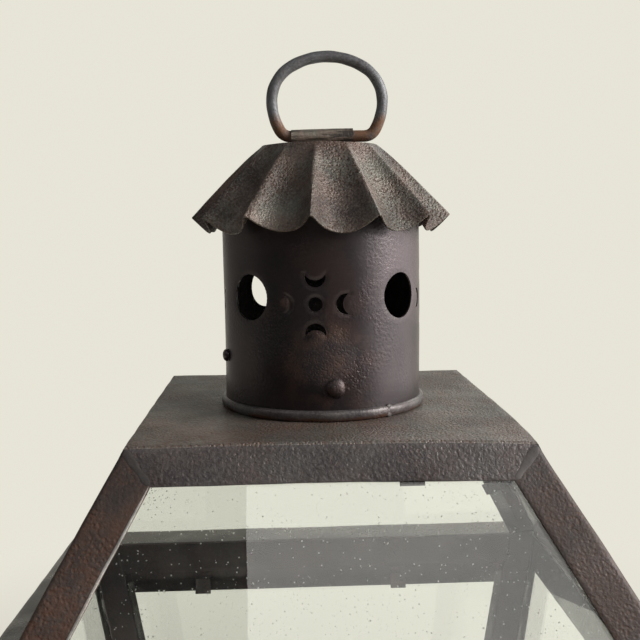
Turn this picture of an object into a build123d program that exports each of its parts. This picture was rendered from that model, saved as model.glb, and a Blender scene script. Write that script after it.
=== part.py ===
from build123d import *
import os
from math import atan2, cos, pi, sin, sqrt

# Hanging lantern of soldered sheet iron: tapered glazed body with a door at the back, glazed
# hipped roof with a wide eave, pierced round chimney, fluted cap and a swinging ring.
# Millimetres, +Z up, front faces -Y. Origin: middle of the base's underside.

# Sheet and glass
sheet = 1.2            # frame strips, eave, base and plate
glass_thick = 2.5
glass_lap = 8.0        # how far a pane runs in behind the strips
seat_gap = 0.3         # clearance between the door and the frame

# Base
base_over = 8.0        # the base stands out past the body
base_skirt = 12.0
base_fold_radius = 3.0
foot_hem = 3.0         # width of the turned-in hem that the lantern stands on

# Body
body_height = 280.0
shoulder_half = 163.0  # half width under the eave
body_spread = 0.228    # half width gained per unit of height
post_leg = 19.0
top_rail_wide = 20.5
bottom_rail_wide = 20.0

# Eave
eave_over = 26.0       # the eave stands out past the body
eave_seat = 3.0        # and lies in over its head
eave_hem_wide = 5.0
eave_hem_thick = 3.0

# Roof
roof_height = 134.2    # from the eave's top face to the plate's top face
roof_foot_over = 1.36  # the roof's foot stands out past the body
hip_leg = 18.0
apron_wide = 16.3
plate_ledge = 38.4     # the plate stands out past the chimney
plate_lip = 7.6        # and runs in under it

# Chimney. Rivets are given by degrees from the front, height and head radius.
chimney_radius = 51.6
chimney_wall = 1.0
chimney_height = 100.0
seam_half_wide = 6.0   # lapped seam down the back
seam_short = 4.0       # it ends this far under the chimney's edge
vent_radius = 11.3
vent_height = 59.0
vent_places = (46.4, 145.0, 216.0, -46.4)  # degrees from the front; the seam takes up some sheet
star_height = 56.4
star_turn = -5.9       # degrees from the middle of the front and of each side
star_hole_radius = 3.45
moon_near = (8.1, 10.2, 9.0, 9.8)  # from the star's middle to the belly of each crescent
moon_thick = 3.3
moon_tall = 6.1        # from belly to horns
moon_half_wide = 4.9
bead_stand = 1.9       # how far the base bead stands out from the chimney
bead_height = 5.5
rivet_rise = 0.66      # height of a head for each unit of its radius
rivet_shank_radius = 1.6
rivet_play = 0.05
rivet_places = ((4.4, 16.2, 4.8), (-74.8, 27.8, 3.2), (116.0, 24.0, 3.2), (197.0, 20.0, 3.2))

# Fluted cap
flutes = 13
flute_turn = -6.4      # degrees from the front to the first ridge
cap_sheet = 1.0
cap_ridge_sheet = 1.25 # towards the axis, at a ridge and round the disc
cap_seat = 0.1         # the troughs sit this close over the chimney's edge
cap_top_radius = 30.0
ridge_radius = 67.0
ridge_drop = 35.8
trough_radius = 59.0
trough_drop = 43.4

# Ring and its rolled strap
rod_radius = 3.0
rod_play = 0.08
strap_wall = 0.92
strap_half_length = 16.0
strap_foot = 1.1       # solder foot under the rolled strap
strap_foot_wide = 5.0
strap_shift = 1.3      # the strap sits a little to one side
ring_half = 28.6       # half width of the rod's middle line
ring_widest = 18.0     # height of the widest place over the rod's straight run
ring_tall = 40.4
ring_low_side = 30.0   # radius of the sides under the widest place
ring_side = 20.0       # radius of the sides over it
ring_slide = 2.9       # the ring has slid to one side in its strap
ring_spare = 0.2       # straight rod that still shows at the strap's end

# Door, lapped over the outside of the back frame
door_side_lap = 13.0   # the stile laps the post by this
door_top_lap = 4.0
door_bottom_lap = 4.0
stile_wide = 18.0
door_glass_lap = 3.5   # behind the stiles; behind the door's rails it is glass_lap

# Hinges
knuckle_radius = 2.6
hinge_pin_radius = 1.2
pin_play = 0.06
knuckle_long = 8.0
knuckle_gap = 0.4
hinge_leaf_wide = 12.0
hinge_inset = 45.0     # from the door's ends to the middle of a hinge

# Turn button and its keeper
button_long = 27.0
button_wide = 8.0
button_thick = 1.5
button_pivot_radius = 1.8
pivot_flare = 0.9      # the rivet's tail spreads by this in the stile's countersink
pivot_flare_deep = 0.8
keeper_thick = 1.2

# Glass tabs
tab_wide = 11.0
tab_thick = 0.7
tab_show = 2.0         # a tab shows past the strip's edge by this
tab_foot = 5.0
head_tab_aside = 23.0  # from the middle to a tab under an apron
roof_tab_drop = 90.0   # down the roof to its side tabs
low_tab_rise = 70.0    # up the body's slope to the lower side tabs
high_tab_drop = 75.0   # down it to the upper ones

# Candle fittings
dish_radius = 48.0
dish_height = 8.0
cup_bore_radius = 11.3
cup_wall = 0.8
cup_height = 24.0
cup_rivet_radius = 2.5

# Worked out
base_top = base_skirt
shoulder = base_top + body_height
eave_top = shoulder + sheet
plate_top = eave_top + roof_height
plate_under = plate_top - sheet
plate_half = chimney_radius + plate_ledge
plate_hole_radius = chimney_radius - plate_lip
eave_half = shoulder_half + eave_over
eave_inner_half = shoulder_half - eave_seat
roof_spread = (plate_half - shoulder_half - roof_foot_over) / roof_height
cap_steep = trough_drop / (trough_radius - cap_top_radius)
cap_under_trough = cap_sheet * sqrt(1 + cap_steep**2) + cap_seat
cap_top = plate_top + chimney_height + cap_under_trough + cap_steep * (
    chimney_radius - cap_top_radius)
ring_shift = strap_shift + ring_slide
ring_axis_height = cap_top + strap_foot + rod_radius + rod_play + strap_wall
body_foot_half = shoulder_half - body_spread * body_height
base_half = body_foot_half + base_over
far = 400.0

os.makedirs("parts", exist_ok=True)
sides = ("front", "right", "back", "left")
corners = ("front_right", "back_right", "back_left", "front_left")
quarter = extrude(Polygon((0, 0), (-far, -far), (far, -far), align=None), amount=2 * far)


def level(low, high):
    """All the space between two heights."""
    return Pos(0, 0, (low + high) / 2) * Box(2 * far, 2 * far, high - low)


def turn(shape, quarters):
    """A front piece carried round to another side."""
    return shape.rotate(Axis.Z, 90 * quarters)


class Slope:
    """The front face of a square pyramid: x across it, v up the slope, depth inwards."""

    def __init__(self, half, height, spread):
        self.half = half
        self.height = height
        self.run = sqrt(1 + spread**2)
        self.lean = spread / self.run
        self.widen = sqrt(1 + self.lean**2)
        self.plane = Plane(origin=(0, -half, height), x_dir=(1, 0, 0), z_dir=(0, -1, -spread))

    def v(self, height):
        return (height - self.height) * self.run

    def edge(self, v, inset=0.0):
        """Half width at v, less a strip of the given width along the corner."""
        return self.half + self.lean * v - inset * self.widen

    def cut(self, points, depth=0.0, thick=sheet):
        """A flat piece with this outline, its outer face at this depth."""
        face = self.plane.offset(-depth) * Polygon(*points, align=None)
        return extrude(face, amount=-thick)

    def band(self, low, high, inset, depth=0.0, thick=sheet, inset_high=None):
        """A piece across the face from low to high, short of both corners by inset."""
        top = inset if inset_high is None else inset_high
        a = self.edge(low, inset)
        b = self.edge(high, top)
        return self.cut([(-a, low), (a, low), (b, high), (-b, high)], depth, thick)

    def strip(self, low, high, near, wide, depth=0.0, thick=sheet):
        """A piece along the right corner, from near to near + wide away from it."""
        outer = [(self.edge(low, near), low), (self.edge(high, near), high)]
        inner = [(self.edge(high, near + wide), high), (self.edge(low, near + wide), low)]
        return self.cut(outer + inner, depth, thick)

    def corner_frame(self, v):
        """Frame on the left corner: x towards the door's middle, y inwards, z up the corner."""
        start = self.plane.from_local_coords((-self.edge(v), v, 0))
        ahead = self.plane.from_local_coords((-self.edge(v + 1), v + 1, 0))
        aside = self.plane.from_local_coords((-self.edge(v) + 1, v + self.lean, 0))
        return Plane(origin=start, x_dir=aside - start, z_dir=ahead - start)

    def face_frame(self, v, near):
        """Frame on the face by the right corner: x away from it, z outwards."""
        start = self.plane.from_local_coords((self.edge(v, near), v, 0))
        aside = self.plane.from_local_coords((self.edge(v, near) - 1, v + self.lean, 0))
        return Plane(origin=start, x_dir=aside - start, z_dir=self.plane.z_dir)


body = Slope(shoulder_half, shoulder, body_spread)
roof = Slope(plate_half, plate_top, roof_spread)
body_low = body.v(base_top)
body_high = body.v(shoulder)
roof_low = roof.v(eave_top)
roof_high = roof.v(plate_under)


def angle_strip(leg, low, high):
    """An L strip over the corner between the front and the right side."""
    mirrored = leg.mirror(Plane.YZ)
    both = (leg & quarter) + turn(mirrored & quarter, 1)
    return both & level(low, high)


def body_post():
    return angle_strip(body.strip(body_low - 20, body_high + 20, 0, post_leg), base_top, shoulder)


def body_top_rail():
    low = body_high - top_rail_wide
    return body.band(low, body_high + 5, post_leg) & level(base_top, shoulder)


def body_bottom_rail():
    high = body_low + bottom_rail_wide
    return body.band(body_low - 5, high, post_leg) & level(base_top, shoulder)


def roof_hip():
    """An L strip along the hip, mitred to the apron at its head."""
    inner = roof_high - apron_wide
    outline = [
        (roof.edge(roof_high), roof_high),
        (roof.edge(inner, hip_leg), inner),
        (roof.edge(roof_low - 20, hip_leg), roof_low - 20),
        (roof.edge(roof_low - 20), roof_low - 20),
    ]
    return angle_strip(roof.cut(outline), eave_top, plate_under)


def roof_apron():
    """The sloping strip under the plate's edge, with mitred ends."""
    inner = roof_high - apron_wide
    a = roof.edge(inner, hip_leg)
    b = roof.edge(roof_high)
    c = roof.edge(roof_high + 5)
    right = [(a, inner), (b, roof_high), (c, roof_high + 5)]
    left = [(-x, v) for x, v in reversed(right)]
    return roof.cut(right + left) & quarter & level(eave_top, plate_under)


def roof_pane():
    high = roof_high - apron_wide + glass_lap
    pane = roof.band(roof_low - 5, high, hip_leg - glass_lap, sheet, glass_thick)
    return pane & level(eave_top, plate_under)


def body_pane():
    pane = body.band(body_low - 5, body_high + 5, post_leg - glass_lap, sheet, glass_thick)
    return pane & level(base_top, shoulder)


def tab(reach):
    """A bent tab in a frame with x along the strip's edge, y from strip to glass, z outwards.

    The glass's edge lies on y = 0, the strip's inner face on z = 0, and the tab's tongue
    runs to reach, behind the pane."""
    back = -glass_thick
    play = 0.3
    outline = [
        (-tab_foot, 0), (0 - play, 0), (0 - play, back), (reach, back), (reach, back - tab_thick),
        (-play - tab_thick, back - tab_thick), (-play - tab_thick, -tab_thick), (-tab_foot, -tab_thick),
    ]
    profile = Plane.YZ.offset(-tab_wide / 2) * Polygon(*outline, align=None)
    return extrude(profile, amount=tab_wide)


def tab_at(slope, x, v, along, depth, reach):
    """A tab on a slope: along points from the strip to the glass, in the face."""
    origin = slope.plane.from_local_coords((x, v, -depth))
    tip = slope.plane.from_local_coords((x + along[0], v + along[1], -depth))
    normal = slope.plane.z_dir
    frame = Plane(origin=origin, x_dir=(tip - origin).cross(normal), z_dir=normal)
    return frame * tab(reach)


def side_tabs(slope, v, leg):
    """A left and a right tab on the inner faces of two corner strips."""
    x = slope.edge(v, leg - glass_lap)
    reach = glass_lap + tab_show
    right = tab_at(slope, x, v, (-1, slope.lean), sheet, reach)
    return [right, right.mirror(Plane.YZ)]


def pane_tabs_roof():
    high = roof_high - apron_wide + glass_lap
    head = tab_at(roof, head_tab_aside, high, (0, -1), sheet, glass_lap + tab_show)
    return [head] + side_tabs(roof, roof_high - roof_tab_drop, hip_leg)


def pane_tabs_body():
    low = side_tabs(body, body_low + low_tab_rise, post_leg)
    return low + side_tabs(body, body_high - high_tab_drop, post_leg)


def eave_strip():
    """One mitred side of the eave: flat, with its outer edge turned under."""
    flat = Pos(0, -(eave_half + eave_inner_half) / 2, eave_top - sheet / 2) * Box(
        2 * eave_half, eave_half - eave_inner_half, sheet)
    hem = Pos(0, -eave_half + eave_hem_wide / 2, eave_top - eave_hem_thick / 2) * Box(
        2 * eave_half, eave_hem_wide, eave_hem_thick)
    strip = flat + hem
    rim = strip.edges().filter_by(Axis.X).sort_by(Axis.Y)[:2]
    return fillet(rim, eave_hem_thick * 0.45) & quarter


def base_pan():
    """A square tray, open below, with its skirt turned in as a foot."""
    block = Pos(0, 0, base_skirt / 2) * Box(2 * base_half, 2 * base_half, base_skirt)
    block = fillet(block.edges().filter_by(Axis.Z), base_fold_radius)
    inside = base_half - sheet
    hollow = Pos(0, 0, (base_skirt - sheet) / 2) * Box(2 * inside, 2 * inside, base_skirt - sheet)
    hollow = fillet(hollow.edges().filter_by(Axis.Z), base_fold_radius - sheet)
    inner = inside - foot_hem
    hem = Pos(0, 0, sheet / 2) * (Box(2 * inside, 2 * inside, sheet) - Box(2 * inner, 2 * inner, sheet))
    rivet_hole = Cylinder(cup_rivet_radius, 4 * base_skirt)
    return block - (hollow - hem) - rivet_hole


def drip_dish():
    """A shallow round dish with a rolled lip, on the base."""
    outline = [
        (cup_rivet_radius, 0), (dish_radius - dish_height, 0), (dish_radius, dish_height),
        (dish_radius - sheet, dish_height), (dish_radius - dish_height - sheet / 2, sheet),
        (cup_rivet_radius, sheet),
    ]
    dish = revolve(Plane.XZ * Polygon(*outline, align=None), Axis.Z)
    lip = Pos(0, 0, dish_height) * Torus(dish_radius - sheet / 2, sheet)
    return Pos(0, 0, base_top) * (dish + lip)


def candle_cup():
    """The socket that a candle stands in, with a turned rim."""
    outer = cup_bore_radius + cup_wall
    wall = Pos(0, 0, cup_height / 2) * (
        Cylinder(outer, cup_height) - Cylinder(cup_bore_radius, cup_height))
    floor = Pos(0, 0, cup_wall / 2) * (Cylinder(outer, cup_wall) - Cylinder(cup_rivet_radius, cup_wall))
    rim = Pos(0, 0, cup_height) * Torus(outer, cup_wall)
    return Pos(0, 0, base_top + sheet) * (wall + floor + rim)


def cup_rivet():
    """The rivet that holds cup and dish on the base."""
    head = 1.2
    head_radius = cup_rivet_radius + 2.0
    top = base_top + sheet + cup_wall
    under = base_top - sheet
    shank = Pos(0, 0, (top + under) / 2) * Cylinder(cup_rivet_radius - rivet_play, top - under)
    upper = Pos(0, 0, top + head / 2) * Cylinder(head_radius, head)
    lower = Pos(0, 0, under - head / 2) * Cylinder(head_radius, head)
    return shank + upper + lower


def top_plate():
    """The square plate between roof and chimney, open under the chimney."""
    block = Box(2 * plate_half, 2 * plate_half, sheet) - Cylinder(plate_hole_radius, sheet)
    return Pos(0, 0, plate_top - sheet / 2) * block


def crescent(near):
    """A crescent, belly towards the middle of the star, horns out along +Y."""
    horn_left = (-moon_half_wide, near + moon_tall)
    horn_right = (moon_half_wide, near + moon_tall)
    belly = ThreePointArc(horn_left, (0, near), horn_right)
    hollow = ThreePointArc(horn_right, (0, near + moon_thick), horn_left)
    return make_face([belly, hollow])


def star_cutter(turned, moons):
    """A round hole with crescents about it, cut through one side of the chimney."""
    cutters = [extrude(Circle(star_hole_radius), amount=2 * chimney_wall, both=True)]
    for quarter_turn in moons:
        moon = crescent(moon_near[quarter_turn]).rotate(Axis.Z, 90 * quarter_turn)
        cutters.append(extrude(moon, amount=6 * chimney_wall, both=True))
    frame = Plane(origin=(0, -chimney_radius, plate_top + star_height), x_dir=(1, 0, 0), z_dir=(0, -1, 0))
    return [(frame * cutter).rotate(Axis.Z, turned) for cutter in cutters]


def chimney():
    """A pierced tube of sheet: a star in front and on each side, vents between, seam behind."""
    bore = chimney_radius - chimney_wall
    tube = Cylinder(chimney_radius, chimney_height) - Cylinder(bore, chimney_height)
    tube = Pos(0, 0, plate_top + chimney_height / 2) * tube
    seam_low = plate_top + bead_height + seat_gap
    seam_high = plate_top + chimney_height - seam_short
    seam_angle = sum(vent_places[1:3]) / 2
    ring = Cylinder(chimney_radius + chimney_wall, seam_high - seam_low) - Cylinder(
        chimney_radius, seam_high - seam_low)
    strip = Pos(0, -chimney_radius, 0) * Box(2 * seam_half_wide, chimney_radius, far)
    tube += (Pos(0, 0, (seam_low + seam_high) / 2) * (ring & strip)).rotate(Axis.Z, seam_angle)
    vent = Pos(0, -chimney_radius, plate_top + vent_height) * (
        Rot(90, 0, 0) * Cylinder(vent_radius, 20 * chimney_wall))
    cutters = [vent.rotate(Axis.Z, place) for place in vent_places]
    # The front star's left crescent was struck but never pierced.
    for quarters, moons in ((0, (0, 2, 3)), (1, range(4)), (3, range(4))):
        cutters += star_cutter(star_turn + 90 * quarters, moons)
    for place, height, _ in rivet_places:
        hole = Pos(0, -chimney_radius, plate_top + height) * (
            Rot(90, 0, 0) * Cylinder(rivet_shank_radius + rivet_play, 10 * chimney_wall))
        cutters.append(hole.rotate(Axis.Z, place))
    return tube - cutters


def chimney_bead():
    """The half-round bead round the chimney's foot."""
    inner = chimney_radius
    rise = bead_height / 2
    side = Line((inner, 0), (inner, bead_height))
    top = Line((inner, bead_height), (inner + bead_stand * 0.3, bead_height))
    bulge = ThreePointArc(
        (inner + bead_stand * 0.3, bead_height), (inner + bead_stand, rise * 1.2),
        (inner + bead_stand * 0.5, 0))
    foot = Line((inner + bead_stand * 0.5, 0), (inner, 0))
    profile = make_face([side, top, bulge, foot])
    return Pos(0, 0, plate_top) * revolve(Plane.XZ * profile, Axis.Z)


def chimney_rivet(head_radius):
    """A round-headed rivet with z out of the wall, upset on the inside."""
    wall = chimney_wall + 0.2
    tail = 0.8
    head_height = rivet_rise * head_radius
    sphere_radius = (head_radius**2 + head_height**2) / (2 * head_height)
    dome = Pos(0, 0, head_height - sphere_radius) * Sphere(sphere_radius)
    above = Pos(0, 0, head_height) * Box(4 * head_radius, 4 * head_radius, 2 * head_height)
    shank = Pos(0, 0, -(wall + tail) / 2) * Cylinder(rivet_shank_radius, wall + tail)
    upset = Pos(0, 0, -wall - tail / 2) * Cylinder(rivet_shank_radius + tail, tail)
    return (dome & above) + shank + upset


def chimney_rivets():
    placed = []
    for place, height, head_radius in rivet_places:
        frame = Plane(origin=(0, -chimney_radius, plate_top + height), x_dir=(1, 0, 0), z_dir=(0, -1, 0))
        placed.append((frame * chimney_rivet(head_radius)).rotate(Axis.Z, place))
    return Compound(children=placed)


def flute_section(plane, ridge, ridge_in, trough_in):
    """One flute's section: x across, y outwards, the trough's outer face at the origin."""

    def arc(end, middle):
        return ThreePointArc((-end[0], end[1]), (0, middle), end)

    right = Line(ridge, ridge_in)
    left = Line((-ridge[0], ridge[1]), (-ridge_in[0], ridge_in[1]))
    return plane * make_face([arc(ridge, 0), right, arc(ridge_in, trough_in), left])


def fluted_cap():
    """Hollow flutes round a flat disc: a flat ring at the head, deep arcs at the rim."""
    half = pi / flutes
    rim_ahead = ridge_radius * cos(half) - trough_radius
    rim_rise = trough_drop - ridge_drop
    tall = sqrt(rim_ahead**2 + rim_rise**2)
    ridge = Vector(ridge_radius * sin(half), tall)
    to_axis = (Vector(0, -trough_radius * tall / rim_ahead) - ridge).normalized()
    ridge_in = ridge + to_axis * cap_ridge_sheet
    rim_frame = Plane(
        origin=(0, -trough_radius, cap_top - trough_drop),
        x_dir=(1, 0, 0),
        z_dir=Vector(1, 0, 0).cross(Vector(0, -rim_ahead, rim_rise)),
    )
    rim = flute_section(rim_frame, (ridge.X, ridge.Y), (ridge_in.X, ridge_in.Y), -cap_sheet)

    inner_radius = cap_top_radius - cap_ridge_sheet
    head_frame = Plane(origin=(0, -cap_top_radius, cap_top), x_dir=(1, 0, 0), z_dir=(0, 0, -1))
    head = flute_section(
        head_frame,
        (cap_top_radius * sin(half), cap_top_radius * (cos(half) - 1)),
        (inner_radius * sin(half), inner_radius * cos(half) - cap_top_radius),
        -cap_ridge_sheet,
    )
    flute = loft([rim, head], ruled=True)
    disc_radius = cap_top_radius - cap_ridge_sheet / 2
    cap = Pos(0, 0, cap_top - cap_sheet / 2) * Cylinder(disc_radius, cap_sheet)
    for k in range(flutes):
        cap += flute.rotate(Axis.Z, flute_turn + 360 / flutes * (k + 0.5))
    return cap


def ring_strap():
    """A strip rolled round the ring's rod and soldered to the cap along its foot."""
    bore = rod_radius + rod_play
    outer = bore + strap_wall
    length = 2 * strap_half_length
    tube = Rot(0, 90, 0) * (Cylinder(outer, length) - Cylinder(bore, length))
    foot_high = strap_foot + strap_wall
    foot = Pos(0, 0, -outer - strap_foot + foot_high / 2) * Box(length, strap_foot_wide, foot_high)
    foot -= Rot(0, 90, 0) * Cylinder(bore, 2 * length)
    return Pos(strap_shift, 0, ring_axis_height) * (tube + foot)


def hanging_ring():
    """A round rod bent to a D: a straight run in the strap, tight corners, a wide arch."""
    rise = ring_tall - ring_widest
    inset = ring_half - ring_side
    arch = (inset**2 + rise**2 - ring_side**2) / (2 * (rise - ring_side))
    arch_centre = ring_tall - arch
    reach = ring_side / (arch - ring_side)
    join = (inset + inset * reach, ring_widest + (ring_widest - arch_centre) * reach)
    turned = atan2(join[1] - ring_widest, join[0] - inset) / 2
    middle = (inset + ring_side * cos(turned), ring_widest + ring_side * sin(turned))
    straight = strap_half_length + ring_slide + ring_spare
    ahead = straight - ring_half + ring_low_side
    corner = (ahead**2 + ring_widest**2 - ring_low_side**2) / (2 * (ring_widest - ring_low_side))
    low_turn = atan2(corner - ring_widest, ahead)

    def on_corner(angle):
        return (straight + corner * cos(angle), corner + corner * sin(angle))

    def on_side(angle):
        return (ring_half - ring_low_side * (1 - cos(angle)), ring_widest + ring_low_side * sin(angle))

    right = [
        Line((0, 0), (straight, 0)),
        ThreePointArc((straight, 0), on_corner((low_turn - pi / 2) / 2), on_corner(low_turn)),
        ThreePointArc(on_side(low_turn), on_side(low_turn / 2), (ring_half, ring_widest)),
        ThreePointArc((ring_half, ring_widest), middle, join),
    ]
    top = ThreePointArc(join, (0, ring_tall), (-join[0], join[1]))
    left = [edge.mirror(Plane.YZ) for edge in right]
    path = Wire([Plane.XZ * edge for edge in right + [top] + left])
    rod = sweep(Plane.YZ * Circle(rod_radius), path=path)
    return Pos(ring_shift, 0, ring_axis_height) * rod


stile_near = post_leg - door_side_lap
door_low = body_low + bottom_rail_wide - door_bottom_lap
door_high = body_high - top_rail_wide + door_top_lap
door_depth = -seat_gap - sheet
button_middle = (door_low + door_high) / 2
button_near = stile_near + stile_wide / 2


def door_stile():
    """The right stile, running the door's full height."""
    return body.strip(door_low, door_high, stile_near, stile_wide, door_depth)


def pivot_tail(play):
    """The button rivet's flush, spread tail, from the stile's inner face outwards."""
    radius = button_pivot_radius + play
    cone = Cone(radius + pivot_flare, radius, pivot_flare_deep)
    return Pos(0, 0, seat_gap + pivot_flare_deep / 2) * cone


def door_latch_stile():
    """The stile opposite the hinges, countersunk inside for the button's rivet."""
    hole = Cylinder(button_pivot_radius + pin_play, 20 * sheet) + pivot_tail(pin_play)
    return door_stile() - body.face_frame(button_middle, button_near) * hole


def door_rail(low):
    inset = stile_near + stile_wide
    return body.band(low, low + stile_wide, inset, door_depth)


def door_pane():
    inset = stile_near + stile_wide - door_glass_lap
    low = door_low + stile_wide - glass_lap
    high = door_high - stile_wide + glass_lap
    return body.band(low, high, inset, -seat_gap, glass_thick)


def door_tabs():
    """Two tabs at the head and two at the foot, behind the door's glass."""
    low = door_low + stile_wide - glass_lap
    high = door_high - stile_wide + glass_lap
    reach = glass_lap + tab_show
    tabs = []
    for x in (-0.45, 0.45):
        tabs.append(tab_at(body, x * body.edge(high), high, (0, -1), -seat_gap, reach))
        tabs.append(tab_at(body, x * body.edge(low), low, (0, 1), -seat_gap, reach))
    return tabs


hinge_x = stile_near - 0.1
hinge_depth = door_depth - seat_gap - knuckle_radius
hinge_long = 3 * knuckle_long + 2 * knuckle_gap
hinge_places = (door_low + hinge_inset, door_high - hinge_inset)


def knuckle(low):
    """One knuckle of a hinge, from low upwards."""
    ring = Cylinder(knuckle_radius, knuckle_long) - Cylinder(hinge_pin_radius + pin_play, knuckle_long)
    return Pos(hinge_x, hinge_depth, low + knuckle_long / 2) * ring


def block(x0, x1, y0, y1, z0, z1):
    return Pos((x0 + x1) / 2, (y0 + y1) / 2, (z0 + z1) / 2) * Box(x1 - x0, y1 - y0, z1 - z0)


def hinge_frame_leaf():
    """The leaf on the post, with the outer two knuckles."""
    low = -hinge_long / 2
    neck = hinge_x - knuckle_radius
    leaf = block(0.6, neck + sheet, -sheet, 0, low, -low)
    for start in (low, -low - knuckle_long):
        stem = block(neck, neck + sheet, hinge_depth, 0, start, start + knuckle_long)
        leaf += stem + knuckle(start)
    return leaf


def hinge_door_leaf():
    """The leaf on the door's stile, with the middle knuckle."""
    low = -hinge_long / 2
    clear = hinge_x + knuckle_radius + knuckle_gap
    face = door_depth
    leaf = block(clear, hinge_x + hinge_leaf_wide, face - sheet, face, low, -low)
    start = -knuckle_long / 2
    leaf += block(hinge_x, clear, face - sheet, face, start, -start)
    return leaf + knuckle(start)


def hinge_pin():
    """A pin with a small head at each end."""
    head = 0.9
    pin = Cylinder(hinge_pin_radius, hinge_long + 2 * seat_gap)
    for sign in (-1, 1):
        pin += Pos(0, 0, sign * (hinge_long / 2 + seat_gap + head / 2)) * Cylinder(
            hinge_pin_radius + 0.9, head)
    return Pos(hinge_x, hinge_depth, 0) * pin


def turn_button():
    """A round-ended strip that turns on its rivet, stored upright beside the stile's edge."""
    plate = SlotOverall(button_long, button_wide)
    plate -= Circle(button_pivot_radius + pin_play)
    low = seat_gap + sheet + seat_gap
    button = Pos(0, 0, low) * extrude(plate, amount=button_thick)
    return body.face_frame(button_middle, button_near) * button.rotate(Axis.Z, 90)


def button_rivet():
    """The rivet that the button turns on, its tail spread flush in the stile."""
    head = 1.0
    outer = seat_gap + sheet + seat_gap + button_thick + seat_gap
    shank = Pos(0, 0, (seat_gap + outer) / 2) * Cylinder(button_pivot_radius, outer - seat_gap)
    top = Pos(0, 0, outer + head / 2) * Cylinder(button_pivot_radius + 1.4, head)
    return body.face_frame(button_middle, button_near) * (shank + top + pivot_tail(0))


def button_keeper():
    """A bent hook on the post that the button's tip turns in under."""
    lift = seat_gap + sheet + seat_gap + button_thick + seat_gap
    tip = -button_near + 0.6
    inner = -button_near + stile_near - 0.8
    side = button_wide / 2 + seat_gap
    stop = block(tip, inner, -side - keeper_thick, -side, 0, lift + keeper_thick)
    cover = block(tip, inner, -side, button_wide * 0.3, lift, lift + keeper_thick)
    return body.face_frame(button_middle, button_near) * (stop + cover)


def keep(name, shape, quarters=0):
    """Write one node, turned round to its side."""
    if isinstance(shape, (list, tuple)):
        shape = Compound(children=list(shape))
    export_step(turn(shape, quarters), f"parts/{name}.step")


keep("base_pan", base_pan())
keep("drip_dish", drip_dish())
keep("candle_cup", candle_cup())
keep("cup_rivet", cup_rivet())
for k in range(4):
    keep("post_" + corners[k], body_post(), k)
    keep("roof_hip_" + corners[k], roof_hip(), k)
    keep("top_rail_" + sides[k], body_top_rail(), k)
    keep("bottom_rail_" + sides[k], body_bottom_rail(), k)
    keep("eave_" + sides[k], eave_strip(), k)
    keep("roof_apron_" + sides[k], roof_apron(), k)
    keep("roof_glass_" + sides[k], roof_pane(), k)
for k in (0, 1, 3):
    keep("body_glass_" + sides[k], body_pane(), k)
keep("roof_glass_tabs", [turn(tab, k) for k in range(4) for tab in pane_tabs_roof()])
keep("body_glass_tabs", [turn(tab, k) for k in (0, 1, 3) for tab in pane_tabs_body()])
keep("top_plate", top_plate())
keep("chimney", chimney())
keep("chimney_bead", chimney_bead())
keep("chimney_rivets", chimney_rivets())
keep("fluted_cap", fluted_cap())
keep("ring_strap", ring_strap())
keep("hanging_ring", hanging_ring())
keep("door_stile_latch", door_latch_stile(), 2)
keep("door_stile_hinge", door_stile().mirror(Plane.YZ), 2)
keep("door_rail_bottom", door_rail(door_low), 2)
keep("door_rail_top", door_rail(door_high - stile_wide), 2)
keep("door_glass", door_pane(), 2)
keep("door_glass_tabs", door_tabs(), 2)
keep("hinge_frame_leaves", [body.corner_frame(v) * hinge_frame_leaf() for v in hinge_places], 2)
keep("hinge_door_leaves", [body.corner_frame(v) * hinge_door_leaf() for v in hinge_places], 2)
keep("hinge_pins", [body.corner_frame(v) * hinge_pin() for v in hinge_places], 2)
keep("latch_button", turn_button(), 2)
keep("latch_rivet", button_rivet(), 2)
keep("latch_keeper", button_keeper(), 2)
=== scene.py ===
from math import cos, pi, radians, sin, sqrt

import bmesh
import bpy
import numpy as np
from mathutils import Matrix, Vector


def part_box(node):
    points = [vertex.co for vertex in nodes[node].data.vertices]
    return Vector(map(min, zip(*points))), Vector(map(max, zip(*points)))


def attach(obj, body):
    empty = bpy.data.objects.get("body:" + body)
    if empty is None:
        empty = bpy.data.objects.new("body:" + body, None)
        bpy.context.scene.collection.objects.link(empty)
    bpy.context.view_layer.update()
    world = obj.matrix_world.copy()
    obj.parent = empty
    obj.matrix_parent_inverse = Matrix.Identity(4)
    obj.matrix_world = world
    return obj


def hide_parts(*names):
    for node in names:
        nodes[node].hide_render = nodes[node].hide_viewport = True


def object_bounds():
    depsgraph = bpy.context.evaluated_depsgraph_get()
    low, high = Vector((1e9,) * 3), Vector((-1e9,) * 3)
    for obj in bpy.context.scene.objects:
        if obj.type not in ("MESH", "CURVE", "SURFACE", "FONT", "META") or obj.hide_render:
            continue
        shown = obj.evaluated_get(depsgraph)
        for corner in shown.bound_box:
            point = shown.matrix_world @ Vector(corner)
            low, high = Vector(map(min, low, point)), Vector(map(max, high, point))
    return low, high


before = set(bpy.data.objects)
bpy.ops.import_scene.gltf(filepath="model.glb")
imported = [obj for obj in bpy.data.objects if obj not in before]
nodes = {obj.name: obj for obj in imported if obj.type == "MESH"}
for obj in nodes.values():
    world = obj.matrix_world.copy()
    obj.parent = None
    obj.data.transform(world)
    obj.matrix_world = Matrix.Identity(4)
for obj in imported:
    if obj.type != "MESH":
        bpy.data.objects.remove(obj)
cad_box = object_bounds()
mm = 0.001


# ---------------------------------------------------------------------------------------------
# The standing place: a pale round floor under the base, an even pale surround, one large soft
# lamp to the right as from a window, weak ones to fill from the left and from behind, and a dim
# strip in front that the panes reflect.

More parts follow.
